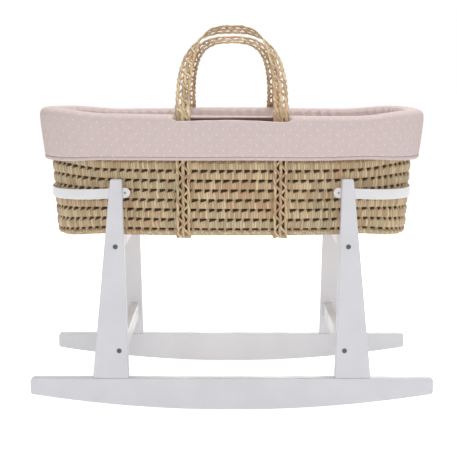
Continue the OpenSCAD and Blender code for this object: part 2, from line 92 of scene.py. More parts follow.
def piece(name, parts, body, finish, stands_for=(), solid=True):
    """One object from surface() parts. Where it is solid, each part whose enclosed volume, the sum of the
    tetrahedra from the origin to its faces, comes out negative has its faces turned round."""
    points, faces, places, start = [], [], [], 0
    for spots, corners, uv in parts:
        fans = np.array([(f[0], f[k], f[k + 1]) for f in corners for k in range(1, len(f) - 1)])
        a, b, c = (spots[fans[:, k]] for k in range(3))
        if solid and (a * np.cross(b, c)).sum() < 0:
            ends = np.cumsum([len(f) for f in corners])
            order = np.concatenate([np.arange(e - len(f), e)[::-1] for f, e in zip(corners, ends)])
            corners, uv = [f[::-1] for f in corners], uv[order]
        points.append(spots)
        faces += [[start + k for k in f] for f in corners]
        places.append(uv)
        start += len(spots)
    made = meshed(name, np.concatenate(points).tolist(), faces)
    places = np.concatenate(places).astype(np.float32)
    made.data.uv_layers.new(name="UVMap").data.foreach_set("uv", places.ravel())
    made.data.polygons.foreach_set("use_smooth", np.ones(len(faces), bool))
    made.data.materials.append(finish)
    if body:
        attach(made, body)
    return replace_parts(made, *stands_for) if stands_for else made


def unit(vectors):
    """Vectors along the last axis, each divided by its length."""
    return vectors / np.linalg.norm(vectors, axis=-1, keepdims=True)


def corner_arc(before, corner, after, radius, steps=6):
    """Rounded corner: the quadratic curve from a point a radius before the corner to one a radius after."""
    before, corner, after = (np.array(p, float) for p in (before, corner, after))
    start, end = (corner + radius * unit(p - corner) for p in (before, after))
    q = np.linspace(0, 1, steps)[:, None]
    return (1 - q) ** 2 * start + 2 * q * (1 - q) * corner + q**2 * end


def eased_board(outline, middle, thickness, ease, along, steps=5):
    """A board cut to an outline in x and z, anticlockwise, with eased edges: each row is the outline drawn in
    by ease (1 - sin a) at a depth of half the thickness less ease (1 - cos a), for a quarter turn a at either
    face. along is the axis, 0 to 2, that its grain follows."""
    run = np.roll(outline, -1, 0) - np.roll(outline, 1, 0)
    inward = unit(np.stack([-run[:, 1], run[:, 0]], -1))
    turn = np.linspace(0, np.pi / 2, steps)
    inset = np.concatenate([[ease + face_ease], ease * (1 - np.sin(turn))])
    depth = np.concatenate([[thickness / 2], thickness / 2 - ease * (1 - np.cos(turn))])
    inset, depth = np.concatenate([inset, inset[::-1]]), np.concatenate([depth, -depth[::-1]])
    flat = outline[None] + inset[:, None, None] * inward[None]
    deep = middle + np.repeat(depth[:, None], len(outline), 1)
    grid = np.stack([flat[..., 0], deep, flat[..., 1]], -1)
    across = {0: (0, 2), 1: (1, 0), 2: (2, 0)}[along]
    return surface(grid, around=True, caps=True, uv=grid[..., across] + grid[..., 1:2] * (along != 1))


def node(tree, kind, settings=None, inputs=None):
    """A shader node with its settings, and inputs by name or number: a socket is linked, a value is set."""
    made = tree.nodes.new("ShaderNode" + kind)
    for key, value in (settings or {}).items():
        setattr(made, key, value)
    for key, value in (inputs or {}).items():
        if isinstance(value, bpy.types.NodeSocket):
            tree.links.new(value, made.inputs[key])
        else:
            made.inputs[key].default_value = value
    return made


def maths(tree, operation, *values):
    """The value socket of a Math node."""
    return node(tree, "Math", {"operation": operation}, dict(enumerate(values))).outputs[0]


def blended(tree, share, first, second, how="MIX"):
    """The colour socket of a colour mix: first at share 0, second at share 1."""
    first, second = (v if isinstance(v, bpy.types.NodeSocket) else (*v, 1) for v in (first, second))
    return node(tree, "Mix", {"data_type": "RGBA", "blend_type": how},
                {0: share, 6: first, 7: second}).outputs[2]


def ranged(tree, value, low, high, to_low=0.0, to_high=1.0):
    """The value socket of a smooth Map Range."""
    return node(tree, "MapRange", {"interpolation_type": "SMOOTHSTEP"},
                {0: value, 1: low, 2: high, 3: to_low, 4: to_high}).outputs[0]


def noise(tree, place, scale, detail=2.0):
    """The value socket of a Noise Texture."""
    inputs = {"Vector": place, "Scale": scale, "Detail": detail}
    return node(tree, "TexNoise", None, inputs).outputs[0]


def effect(name, vectors, floats, results):
    """An empty shader node group: its tree, its vector and float inputs by name, and its float results."""
    tree = bpy.data.node_groups.new(name, "ShaderNodeTree")
    sockets = [("INPUT", "Vector", vectors), ("INPUT", "Float", floats), ("OUTPUT", "Float", results)]
    for way, kind, labels in sockets:
        for label in labels:
            tree.interface.new_socket(label, in_out=way, socket_type="NodeSocket" + kind)
    return tree, tree.nodes.new("NodeGroupInput").outputs, tree.nodes.new("NodeGroupOutput").inputs


def send(tree, ends, **results):
    """Links each result to the end socket of its name."""
    for name, result in results.items():
        tree.links.new(result, ends[name])


def use(tree, group, inputs):
    """The outputs of a node group placed in a material, with its own values."""
    return node(tree, "Group", {"node_tree": group}, inputs).outputs


def finish_of(name, roughness, specular=0.5):
    """A new material, its tree, its Principled BSDF and the sockets of its texture coordinates."""
    made = bpy.data.materials.new(name)
    made.use_nodes = True
    shader = made.node_tree.nodes["Principled BSDF"]
    shader.inputs["Roughness"].default_value = roughness
    shader.inputs["Specular IOR Level"].default_value = specular
    return made, made.node_tree, shader, node(made.node_tree, "TexCoord").outputs


def wire(tree, shader, colour, roughness=None, height=None, bump=0.3, distance=0.001):
    """Links a colour and, where they are given, a roughness and a bump height to the shader."""
    tree.links.new(colour, shader.inputs["Base Color"])
    if roughness is not None:
        tree.links.new(roughness, shader.inputs["Roughness"])
    if height is not None:
        raised = node(tree, "Bump", None, {"Strength": bump, "Distance": distance, "Height": height})
        tree.links.new(raised.outputs[0], shader.inputs["Normal"])


# Grain under paint: long streaks along U, with the pebbled skin of sprayed paint on top.
grain_stretch, pebble_scale, cloud_scale, cloud_range = (5.0, 230.0, 1.0), 900.0, 14.0, (0.3, 0.75)
under_paint, given, put = effect("grain_under_paint", ["Place"], ["Grain"], ["Height", "Mottle"])
stretch = node(under_paint, "Mapping", None, {0: given["Place"], 3: grain_stretch}).outputs[0]
streaks, pebbles = noise(under_paint, stretch, 1.0, 3.0), noise(under_paint, given["Place"], pebble_scale)
clouds = noise(under_paint, given["Place"], cloud_scale, 4.0)
send(under_paint, put, Height=maths(under_paint, "MULTIPLY_ADD", streaks, given["Grain"], pebbles),
     Mottle=ranged(under_paint, clouds, *cloud_range))
paint_bump, paint_depth, board_rough, board_grain = 0.12, 0.0006, 0.42, 1.6


def painted(name, white, shade, roughness, grain, uneven_rough=0.06):
    """White paint: a faint cloudy change of tone and gloss, with grain and pebbling as a bump."""
    made, tree, shader, coords = finish_of(name, roughness)
    skin = use(tree, under_paint, {"Place": coords["UV"], "Grain": grain})
    rough = ranged(tree, skin["Mottle"], 0.0, 1.0, roughness - uneven_rough, roughness + uneven_rough)
    colour = blended(tree, skin["Mottle"], white, shade)
    wire(tree, shader, colour, rough, skin["Height"], paint_bump, paint_depth)
    return made


white_paint = painted("white_paint", paint_white, paint_shade, board_rough, board_grain)


def white_board(name, stands_for, *board):
    """One painted board of the stand in place of its CAD node."""
    piece(name, [eased_board(*board)], "stand", white_paint, [stands_for])


half, rise = rocker_length / 2, rocker_mid_h - rocker_end_h
curve_mid = (half**2 - (rest_flat / 2) ** 2 + rise**2) / (2 * rise)
curve_r = np.hypot(rest_flat / 2, curve_mid)
low_x = np.linspace(rest_flat / 2, half - tip_room, low_points)
low_x = np.concatenate([-low_x[::-1], low_x])
low_edge = np.stack([low_x, curve_mid - np.sqrt(curve_r**2 - low_x**2)], -1)
low_left, low_right = (-half, rise - tip_drop), (half, rise - tip_drop)
top_left, top_right = (-half, rocker_mid_h), (half, rocker_mid_h)
rocker_outline = np.concatenate([
    corner_arc(top_left, low_left, low_edge[0], rocker_corner), low_edge,
    corner_arc(low_edge[-1], low_right, top_right, rocker_corner),
    corner_arc(low_right, top_right, top_left, rocker_corner),
    corner_arc(top_right, top_left, low_left, rocker_corner)])
for name, y in (("front_rocker", -rocker_y), ("rear_rocker", rocker_y)):
    white_board(name + "_board", name, rocker_outline, y, board_t, board_ease, 0)


# Legs: four tapered boards that stand on the rockers, dowelled and screwed from below.
# They are cut from the same softwood as the rockers, with eased edges and the same white paint.
leg_foot, leg_top = (0.2185, 0.2945, 0.068), (0.2295, 0.2535, 0.491)
leg_corners = (0.0034, 0.0034, 0.0040, 0.0040)


def rounded(corners, radii):
    """Closed outline through the corners, each rounded by its own radius."""
    before, after = np.roll(corners, 1, 0), np.roll(corners, -1, 0)
    return np.concatenate([corner_arc(*corner) for corner in zip(before, corners, after, radii)])


leg_outline = rounded([(leg_foot[0], leg_foot[2]), (leg_foot[1], leg_foot[2]), (leg_top[1], leg_top[2]),
                       (leg_top[0], leg_top[2])], leg_corners)
for end, y in (("front", -rocker_y), ("rear", rocker_y)):
    for side, shape in (("left", leg_outline[::-1] * (-1, 1)), ("right", leg_outline)):
        name = f"{end}_{side}_leg"
        white_board(name + "_board", name, shape, y, board_t, board_ease, 2)


# Crossbars: four painted bars from front to rear leg, bolted end on. The basket stands on the upper two.
# Their long edges are eased, and their ends are cut square to sit tight against the legs.
bar_w, bar_h, bar_length, bar_corner, bar_end_ease = 0.020, 0.036, 0.425, 0.0026, 0.0004
bar_places = {"lower": (0.23806, 0.128), "upper": (0.243833, 0.350)}
for level, (x, z) in bar_places.items():
    for name, side in (("left", -1), ("right", 1)):
        left, right, low, high = side * x - bar_w / 2, side * x + bar_w / 2, z - bar_h / 2, z + bar_h / 2
        shape = rounded([(left, low), (right, low), (right, high), (left, high)], [bar_corner] * 4)
        bar = f"{name}_{level}"
        white_board(bar + "_bar", bar + "_crossbar", shape, 0.0, bar_length, bar_end_ease, 1)


# End hoops: thin strips bent to a U round each end of the basket, with rounded tips inside the legs.
# One screw holds each tip, so a hoop droops a little; the strip has the stand's white paint, a bit glossier.
hoop_h, hoop_t, hoop_z, hoop_x, hoop_tip = 0.022, 0.004, 0.460, 0.242599, 0.213599
hoop_side, hoop_end, hoop_bend, hoop_power, hoop_droop = 0.2105, 0.399624, 0.140, 2.2, np.radians(3)
hoop_boxy, hoop_tip_start, hoop_tip_points, hoop_straight_steps, hoop_bend_steps = 0.4, 0.06, 9, 5, 40
hoop_sides, hoop_rough, hoop_grain = 24, 0.34, 0.3
hoop_white, hoop_shade = (0.875, 0.875, 0.885), (0.84, 0.84, 0.855)
hoop_paint = painted("hoop_paint", hoop_white, hoop_shade, hoop_rough, hoop_grain)


def signed_power(value, power):
    """A power of the value's size, with the value's sign."""
    return np.sign(value) * np.abs(value) ** power


def paired(first, second):
    """Two arrays, spread over each other, as the two values of a last axis."""
    return np.stack(np.broadcast_arrays(first, second), -1)


def lengths(line):
    """The length travelled along a line at each of its points."""
    return np.concatenate([[0], np.cumsum(np.linalg.norm(np.diff(line, axis=0), axis=1))])


def hoop_strip(side):
    """A hoop: two straights joined by half a superellipse, |x/a|^n + |y/b|^n = 1, carry a boxy section whose
    height at the tips follows a half circle, h sqrt(1 - (1 - d/h)^2) at the distance d from the tip, and it
    all turns down about the screws by the droop."""
    tip = hoop_tip + hoop_h / 2 * (1 - np.cos(np.linspace(hoop_tip_start, np.pi / 2, hoop_tip_points)))
    straight = np.linspace(tip[-1], hoop_end - hoop_bend, hoop_straight_steps + 1)[1:]
    bend = np.radians(np.linspace(0, 90, hoop_bend_steps + 1)[1:])
    bend_x, bend_y = (signed_power(f(bend), 2 / hoop_power) for f in (np.sin, np.cos))
    mid_x = np.concatenate([tip, straight, hoop_end - hoop_bend * (1 - bend_x)])
    mid_y = np.concatenate([np.full(len(tip) + hoop_straight_steps, -hoop_side), -hoop_side * bend_y])
    line = paired(np.concatenate([mid_x, mid_x[-2::-1]]), np.concatenate([mid_y, -mid_y[-2::-1]]))
    run = np.gradient(line, axis=0)
    out = unit(paired(run[:, 1], -run[:, 0]))
    from_tip = np.clip((line[:, 0] - hoop_tip) / (hoop_h / 2), 0, 1)
    tall = hoop_h / 2 * np.sqrt(1 - (1 - from_tip) ** 2)
    turn = np.radians(np.arange(0, 360, 360 // hoop_sides))
    wide, high = (signed_power(f(turn), hoop_boxy) for f in (np.cos, np.sin))
    flat = line[:, None] + out[:, None] * wide[None, :, None] * hoop_t / 2
    x, z = flat[..., 0] - hoop_x, tall[:, None] * high
    grid = np.stack([side * (hoop_x + x * np.cos(hoop_droop) + z * np.sin(hoop_droop)), flat[..., 1],
                     hoop_z - x * np.sin(hoop_droop) + z * np.cos(hoop_droop)], -1)
    return surface(grid, around=True, caps=True, uv=paired(lengths(line)[:, None], turn / 100))


for name, side in (("left_end_hoop", -1), ("right_end_hoop", 1)):
    piece(name + "_strip", [hoop_strip(side)], "stand", hoop_paint, [name])


# Spare holes: each hoop tip has a second drilled hole beside the leg, with a small burr of paint round it.
# Each is a shallow cup set on the strip's outer face, coloured dark grey as painted shade for the inside of
# the hole.
hole_r, hole_x, hole_sides, speck_scale = 0.00225, 0.224599, 20, 700.0
hole_shade_deep, hole_shade_light = (0.36, 0.36, 0.37), (0.50, 0.50, 0.51)
cup_radii = hole_r * np.array([1.25, 1.2, 1.0, 0.92, 0.1])
cup_heights = [0.0002, -0.00025, -0.0003, -0.00005, -0.00002]
# The cup's dark colour is painted shade, standing in for the depth of the hole.
hole_painted_shade, tree, shader, coords = finish_of("hole_painted_shade", roughness=0.7)
specks = noise(tree, coords["Object"], speck_scale)
wire(tree, shader, blended(tree, specks, hole_shade_deep, hole_shade_light), height=specks, bump=0.2)


def turned(radii, heights, sides):
    """A turned shape about +Y: the radius at each height, or a radius for each angle where it isn't round."""
    turn = np.arange(sides) * 2 * np.pi / sides
    radii = np.array([np.broadcast_to(r, sides) for r in radii])
    heights = np.repeat(np.array(heights)[:, None], sides, 1)
    return np.stack([radii * np.cos(turn), heights, radii * np.sin(turn)], -1)


def mirrored(shape, *places):
    """A shape at places on the front right, with its mirror images on the left and at the rear."""
    return [surface((shape + place) * (side, turn, 1), around=True, caps=True)
            for place in places for side in (-1, 1) for turn in (-1, 1)]


hole_z = hoop_z + (hoop_x - hole_x) * np.sin(hoop_droop)
cups = mirrored(turned(cup_radii, cup_heights, hole_sides), (hole_x, -hoop_side - hoop_t / 2, hole_z))
piece("hoop_spare_holes", cups, "stand", hole_painted_shade)


# Crossbar bolts: dark steel connector bolts with a low domed head and a hexagon socket, one through each leg
# into a barrel nut in the bar's end. The heads lie in shallow counterbores in the legs' outer faces.
head_r, head_sides, dome_h, socket_w, socket_depth = 0.0052, 36, 0.0013, 0.004, 0.0010
bolt_dark, bolt_light, bolt_metal = (0.08, 0.08, 0.085), (0.17, 0.17, 0.178), 0.25
smear_scale, smear_rough = 420.0, (0.2, 0.8, 0.3, 0.5)
dark_steel, tree, shader, coords = finish_of("dark_steel", roughness=0.45, specular=0.3)
shader.inputs["Metallic"].default_value = bolt_metal
smears = noise(tree, coords["Object"], smear_scale, 4.0)
wire(tree, shader, blended(tree, smears, bolt_dark, bolt_light), ranged(tree, smears, *smear_rough),
     smears, bump=0.15, distance=0.0003)
angle = np.arange(head_sides) * 2 * np.pi / head_sides
hexagon = socket_w / 2 / np.cos((angle + np.pi / 6) % (np.pi / 3) - np.pi / 6)
head = turned(
    [head_r, head_r, 0.93 * head_r, 0.8 * head_r, hexagon + 0.0002, hexagon, 0.98 * hexagon, 0.05 * hexagon],
    [0.0008, -0.0003, -0.8 * dome_h, -dome_h, -dome_h, 0.0001 - dome_h, socket_depth - dome_h,
     socket_depth + 0.0001 - dome_h], head_sides)
head_places = [(x, -rocker_y - board_t / 2, z) for x, z in bar_places.values()]
piece("crossbar_bolt_heads", mirrored(head, *head_places), "stand", dark_steel,
      ["crossbar_bolts"])


# Hidden fastenings: barrel nuts and screws of bright zinc-plated steel and beech dowels inside the joints.
# They keep their CAD shapes; only the screw heads inside the hoops can be seen.
zinc_grey, spangle_scale, spangle_share = (0.62, 0.62, 0.63), 900.0, 0.12
beech_dark, beech_light, fleck_scale = (0.72, 0.55, 0.36), (0.84, 0.70, 0.50), 260.0
zinc_steel, tree, shader, coords = finish_of("zinc_steel", roughness=0.35)
shader.inputs["Metallic"].default_value = 1.0
spangles = {"Vector": coords["Object"], "Scale": spangle_scale}
spangle = node(tree, "TexVoronoi", None, spangles).outputs["Color"]
zinc = blended(tree, spangle_share, zinc_grey, spangle, "SOFT_LIGHT")
wire(tree, shader, zinc, height=spangle, bump=0.05)
bare_wood, tree, shader, coords = finish_of("bare_wood", roughness=0.6)
flecks = noise(tree, coords["Object"], fleck_scale, 5.0)
wire(tree, shader, blended(tree, flecks, beech_dark, beech_light), height=flecks)
for finish, names in ((zinc_steel, ("barrel_nuts", "rocker_screws", "hoop_screws")),
                      (bare_wood, ("crossbar_dowels", "leg_dowels"))):
    for name in names:
        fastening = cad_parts[name]
        fastening.data.materials.clear()
        fastening.data.materials.append(finish)


# Basket wall: courses of palm-leaf core wound with flat leaf strips and stitched to the course below at
# intervals, which leaves a row of slots between courses, darkened with painted shade. It runs round a boxy
# oval and leans out.
oval_l, oval_w, oval_power, oval_mid_off = 0.389, 0.209, 2.8, 0.01
wall_lean, basket_foot, basket_h, wall_t, wall_foot = 0.018, 0.3683, 0.249, 0.010, 0.3803
end_start, level_z, end_spread, end_droop, end_lift = 0.26183, 0.4583, 0.185, 0.0125, 0.0095
first_slot_z, course_h, hem_joint = 0.3845, 0.0207, 7
course_rows = np.array([0, 0.035, 0.07, 0.11, 0.17, 0.27, 0.40, 0.52,
                        0.62, 0.68, 0.73, 0.78, 0.83, 0.88, 0.92, 0.96])
course_bulge, course_wave, course_shift = 0.0024, 0.0009, 0.13
strips_round, strip_spread, strip_lean, strip_sway, strip_numbers = 440, 0.45, 0.0006, 0.0011, 1000
strip_out, strip_at_joint, strip_at_bulge, strip_ridge, strip_own = 0.0011, 0.35, 0.65, 0.55, 0.45
slots_round, slot_spread, slot_shift, slot_deep, slot_soft = 112, 0.16, 0.37, 0.0048, 0.0006
slot_start, slot_open, slot_close, slot_end, slot_climbed = 0.0, 0.06, 0.65, 0.74, 0.80
slot_low, slot_climb, slot_full, slot_top = -0.0060, 0.0044, 0.0010, 0.0019
slot_even, slot_uneven, hidden_slot = 0.9, 0.1, 0.4
# The tail below each slot and the strip behind each strap are painted shade, as the slots' darkness is.
tail_place, tail_half, tail_core, tail_foot, tail_head, tail_shade = 0.03, 0.05, 0.015, -0.0130, -0.0060, 0.55
strap_x, behind_strap, behind_soft, strap_shade_share = 0.102, 0.0110, 0.0085, 0.85
leaf_tan, leaf_straw, leaf_green = (0.46, 0.315, 0.18), (0.75, 0.585, 0.37), (0.43, 0.39, 0.25)
# The last two colours are painted shade: along the strips' edges and, nearly black, in the slots.
leaf_russet, strip_edge_shade, leaf_painted_shade = (0.56, 0.33, 0.18), (0.20, 0.13, 0.07), (0.075, 0.048, 0.026)


def superellipse(angle, a, b, power):
    """x and y on |x/a|^n + |y/b|^n = 1 at an angle: a cos^(2/n) and b sin^(2/n), each with its sign."""
    return paired(a * signed_power(np.cos(angle), 2 / power), b * signed_power(np.sin(angle), 2 / power))


dense = np.linspace(0, 2 * np.pi, 40001)
travelled = lengths(superellipse(dense, oval_l + oval_mid_off, oval_w + oval_mid_off, oval_power))
oval_round = travelled[-1]


def oval(off, share):
    """x and y on the basket's oval grown by off, at a share of the way round from +x: a superellipse, its
    angle taken from the length travelled, so that equal shares are equal lengths."""
    angle = np.interp(np.asarray(share) % 1, travelled / oval_round, dense)
    return superellipse(angle, oval_l + off, oval_w + off, oval_power)


def step(value, low, high):
    """Smooth step from 0 at low to 1 at high: t t (3 - 2 t)."""
    t = np.clip((value - low) / (high - low), 0, 1)
    return t * t * (3 - 2 * t)


def fanned(x, z, level=level_z):
    """Heights at x, where the courses fan out towards the basket's ends: each moves by a share of its
    distance from the level one, within limits."""
    return z + np.clip(end_spread * (z - level), -end_droop, end_lift) * step(np.abs(x), end_start, oval_l)


def on_oval(off, z, share, level=level_z):
    """Grid of points on the oval for arrays of offsets and heights over shares of the way round."""
    off, z, share = np.broadcast_arrays(off, z, share)
    flat = oval(off, share)
    return np.concatenate([flat, fanned(flat[..., 0], z, level)[..., None]], -1)


def shares(columns):
    """Shares of the way round in one row, from 0 to 1."""
    return np.arange(columns + 1)[None, :] / columns


def wall_off(z):
    """How far the wall has leaned out at a height."""
    return wall_lean * (z - basket_foot) / basket_h


def wander(share, seed, waves=(2, 3, 5, 8, 13), fade=0.8, peak=0.9):
    """A smooth closed wander round the oval, about -1 to 1: a sum of sine waves with seeded phases."""
    phase = np.random.default_rng(seed).uniform(0, 2 * np.pi, len(waves))
    return sum(np.sin(2 * np.pi * n * share + p) / n**fade for n, p in zip(waves, phase)) / peak


def uneven(share, count, spread, seed):
    """A running count of uneven strips over shares of the way round: a whole number falls at each edge."""
    widths = 1 + spread * np.random.default_rng(seed).uniform(-1, 1, count)
    edges = np.concatenate([[0], np.cumsum(widths)]) / widths.sum()
    whole = np.floor(share)
    return np.interp(share - whole, edges, np.arange(count + 1)) + whole * count


def strip_relief(count, seed, heights=4096):
    """Relief of wound strips, about 0 to 1: a flat-topped ridge 1 - (2f - 1)^6 over the fraction f of each
    strip, on a height of the strip's own."""
    own = np.random.default_rng(seed).uniform(0, 1, heights)[np.floor(count).astype(int) % heights]
    return strip_ridge * (1 - (2 * (count % 1) - 1) ** 6) + strip_own * own


def bulged(t):
    """The bulge over the share t of a course's width: 1 - |2t - 1|^3."""
    return 1 - np.abs(2 * t - 1) ** 3


def leaf_courses(first, last, columns=1728):
    """Courses first to last of the wall as one closed ring, and the painted shade of each point. Each course
    bulges, and strips stand on it. Along each joint, wedge-shaped slots sink in, tall at one end; shade is
    painted into the slots and trails down in a streak below each tall end. Shade is painted on the wall behind
    the straps as well, so the gaps in their plaits look dark."""
    level = np.concatenate([k + course_rows for k in range(first, last + 1)] + [[last + 1.0]])
    level = level[first_slot_z + course_h * level >= wall_foot - 1e-6]
    course, t = np.floor(level).astype(int), (level % 1)[:, None]
    share = shares(columns)
    lean = strip_sway * wander(share + course_shift * course[:, None], 3) + strip_lean
    slanted = share + lean * (t - 0.5)
    count = np.stack([uneven(s, strips_round, strip_spread, 100 + k) for s, k in zip(slanted, course)])
    relief = np.stack([strip_relief(c, 200 + k) for c, k in zip(count, course)])
    z = first_slot_z + course_h * level[:, None] + course_wave * wander(share, 11)
    joint = np.floor(level + 0.5).astype(int)
    above, seen = (level - joint)[:, None] * course_h, (joint < hem_joint)[:, None]
    run = np.stack([uneven(share[0] + slot_shift * j / slots_round, slots_round, slot_spread, 300 + j)
                    for j in joint]) % 1
    low = slot_low + slot_climb * np.clip(run / slot_climbed, 0, 1)
    slot = step(run, slot_start, slot_open) * step(run, slot_end, slot_close)
    slot = slot * step(above, low - slot_soft, low + slot_soft) * step(above, slot_top, slot_full)
    slot = slot * (slot_even + slot_uneven * wander(share, 17)) * np.where(seen, 1, hidden_slot)
    # Painted shade trailing down below the tall end of each slot.
    tail = step(np.abs(run - tail_place), tail_half, tail_core) * step(above, tail_foot, tail_head)
    tail = tail_shade * tail * (above < 0) * seen
    off = wall_off(z) + course_bulge * (bulged(t) - 1) - slot_deep * slot
    off = off + strip_out * relief * (strip_at_joint + strip_at_bulge * bulged(t))
    outer = on_oval(off, z, share)
    back_z = np.array([z[-1, 0], z[0, 0]])[:, None]
    inner = on_oval(wall_off(back_z) - wall_t, back_z, share)
    uv = paired(count + strip_numbers * course[:, None], level[:, None])
    uv = np.concatenate([uv, uv[-1:], uv[:1]])
    # Painted shade on the wall behind each strap, which shows through the gaps in its plait.
    strap_shade = strap_shade_share * step(np.abs(np.abs(outer[..., 0]) - strap_x), behind_strap, behind_soft)
    # The slots, the tails and the strap shade together give the painted shade of each point.
    painted_shade = np.maximum(np.maximum(slot, tail), strap_shade)
    painted_shade = np.concatenate([painted_shade, 0 * painted_shade[:2]])[:, :-1].ravel()
    return surface(np.concatenate([outer, inner])[:, :-1], around=True, closed=True, uv=uv), painted_shade


def split(tree, place):
    """The x and y sockets of a vector."""
    return node(tree, "SeparateXYZ", None, {0: place}).outputs[:2]


def joined(tree, x, y):
    """The vector socket of x and y."""
    return node(tree, "CombineXYZ", None, {0: x, 1: y}).outputs[0]


# Wound leaf: each strip has a tint of its own, fine lengthwise fibres and a line of painted shade along its
# edge, where it meets the next.
patch_scale, fibre_stretch, tint_fibre, tint_own = 11.0, 1.6, 0.45, 0.6
hue_own, hue_patch, hue_base, line_start, groove_start, strip_half = 0.55, 1.5, -0.45, 0.34, 0.38, 0.5
wound_leaf, given, put = effect("wound_leaf", ["Place", "Where"], ["Fibres"],
                                ["Tint", "Hue", "Edge", "Height"])
calc = partial(maths, wound_leaf)
u, v = split(wound_leaf, given["Place"])
own = node(wound_leaf, "TexWhiteNoise", {"noise_dimensions": "2D"},
           {"Vector": joined(wound_leaf, calc("FLOOR", u), calc("FLOOR", v))}).outputs
own_hue = node(wound_leaf, "SeparateColor", None, {0: own[1]}).outputs[1]
patches = noise(wound_leaf, given["Where"], patch_scale)
fibres = joined(wound_leaf, calc("MULTIPLY", u, given["Fibres"]), calc("MULTIPLY", v, fibre_stretch))
fine = noise(wound_leaf, fibres, 1.0, 3.0)
from_middle = calc("ABSOLUTE", calc("SUBTRACT", calc("FRACT", u), strip_half))
drift = calc("MULTIPLY_ADD", patches, hue_patch, hue_base)
send(wound_leaf, put, Tint=calc("MULTIPLY_ADD", fine, tint_fibre, calc("MULTIPLY", own[0], tint_own)),
     Hue=calc("MULTIPLY_ADD", own_hue, hue_own, drift),
     Edge=ranged(wound_leaf, from_middle, line_start, strip_half),
     Height=calc("SUBTRACT", fine, ranged(wound_leaf, from_middle, groove_start, strip_half)))

# Each range is a start and an end, then, where they aren't 0 and 1, what they come to.
leaf_rough, leaf_specular, leaf_bump, leaf_depth = 0.56, 0.4, 0.35, 0.0008
tint_range, slot_range, rough_range = (0.15, 0.85), (0.25, 0.7), (0.0, 1.0, 0.66, 0.46)
green_range, russet_range = (0.66, 1.0, 0.0, 0.6), (0.38, 0.10, 0.0, 0.75)


def leaf_finish(name, fibres, edge_shade, painted_slot_shade, tan=leaf_tan, straw=leaf_straw):
    """Dried palm leaf: straw to tan by strip, drifting to green and russet in patches, with painted shade
    between strips and painted shade, nearly black, in the slots and wherever else the mesh marks shade with
    its own attribute."""
    made, tree, shader, coords = finish_of(name, leaf_rough, leaf_specular)
    leaf = use(tree, wound_leaf, {"Place": coords["UV"], "Where": coords["Object"], "Fibres": fibres})
    colour = blended(tree, ranged(tree, leaf["Tint"], *tint_range), tan, straw)
    colour = blended(tree, ranged(tree, leaf["Hue"], *green_range), colour, leaf_green)
    colour = blended(tree, ranged(tree, leaf["Hue"], *russet_range), colour, leaf_russet)
    # Painted shade along the strips' edges, where they meet.
    colour = blended(tree, maths(tree, "MULTIPLY", leaf["Edge"], edge_shade), colour, strip_edge_shade)
    if painted_slot_shade:
        # Painted shade from the mesh's attribute: the slots, and the wall behind the straps.
        depth = node(tree, "Attribute", {"attribute_name": "slot"}).outputs["Fac"]
        colour = blended(tree, ranged(tree, depth, *slot_range), colour, leaf_painted_shade)
    rough = ranged(tree, leaf["Tint"], *rough_range)
    wire(tree, shader, colour, rough, leaf["Height"], leaf_bump, leaf_depth)
    return made


palm_leaf = leaf_finish("palm_leaf", fibres=5.0, edge_shade=0.8, painted_slot_shade=True)


def mark_painted_shade(made, slot):
    """Writes the painted shade of each point, from 0 to 1, as the attribute slot."""
    made.data.attributes.new("slot", "FLOAT", "POINT").data.foreach_set("value", slot.astype(np.float32))


for name, first, last in (("low", -1, 1), ("middle", 2, 4), ("high", 5, 7), ("hidden", 8, 9)):
    courses, slot = leaf_courses(first, last)
    mark_painted_shade(piece(f"basket_wall_{name}_courses", [courses], "basket", palm_leaf,
                     ["basket_wall"] if first < 0 else []), slot)


# Coils: the rolled edge round the basket's bottom and the coil that finishes its rim, under the liner.
# Both are round bundles of leaf, wound with strips on a slant, as rope is.
edge_off, edge_z, edge_r = -0.0046, 0.3769, 0.0048
rim_off, rim_z, rim_r = 0.0100, 0.6103, 0.0068
coil_strips, coil_spread, coil_core, coil_relief, coil_wave, coil_row = 330, 0.4, 0.86, 0.14, 0.0006, 7.5


def leaf_coil(off, z, radius, slant, columns, seed):
    """A round coil on the oval: a circle in section, its radius following the relief of slanting strips."""
    share, turn = shares(columns), np.linspace(0, 1, 15)[:, None]
    count = uneven(share + slant * turn / coil_strips, coil_strips, coil_spread, seed)
    r = radius * (coil_core + coil_relief * strip_relief(count, seed + 1))
    r = r + coil_wave * wander(share, seed + 2, (5, 9, 17, 31))
    grid = on_oval(off + r * np.cos(2 * np.pi * turn), z + r * np.sin(2 * np.pi * turn), share)
    return surface(grid[:-1, :-1], around=True, closed=True, uv=paired(count, coil_row + 0 * turn))


edge_coil = leaf_coil(edge_off, edge_z, edge_r, slant=3, columns=1728, seed=41)
rim_coil = leaf_coil(rim_off, rim_z, rim_r, slant=2, columns=1152, seed=51)
piece("basket_edge_coil", [edge_coil], "basket", palm_leaf)
piece("basket_rim_coil", [rim_coil], "basket", palm_leaf, ["basket_rim"])


# Base: the same coil worked flat, from a seam along the middle out to the edge, in oval rounds.
# It rests on the upper crossbars, and the mattress covers its inside.
base_low, base_high, base_hang, round_w, round_bulge = 0.3686, 0.3800, 0.0034, 0.0205, 0.0026
base_edge, base_seam, base_top_edge, base_rows, base_top_rows = 0.010, 0.2075, 0.006, 131, 8
base_strips, base_strips_lost, base_rounds, base_strips_least = 400, 0.75, 10, 60
base_strip_spread, base_strip_out = 0.4, 0.0008
base_slots, base_slot_half, base_slot_deep = 90, 0.09, 0.003
base_slot_open, base_slot_close, base_slot_end = 0.08, 0.58, 0.66


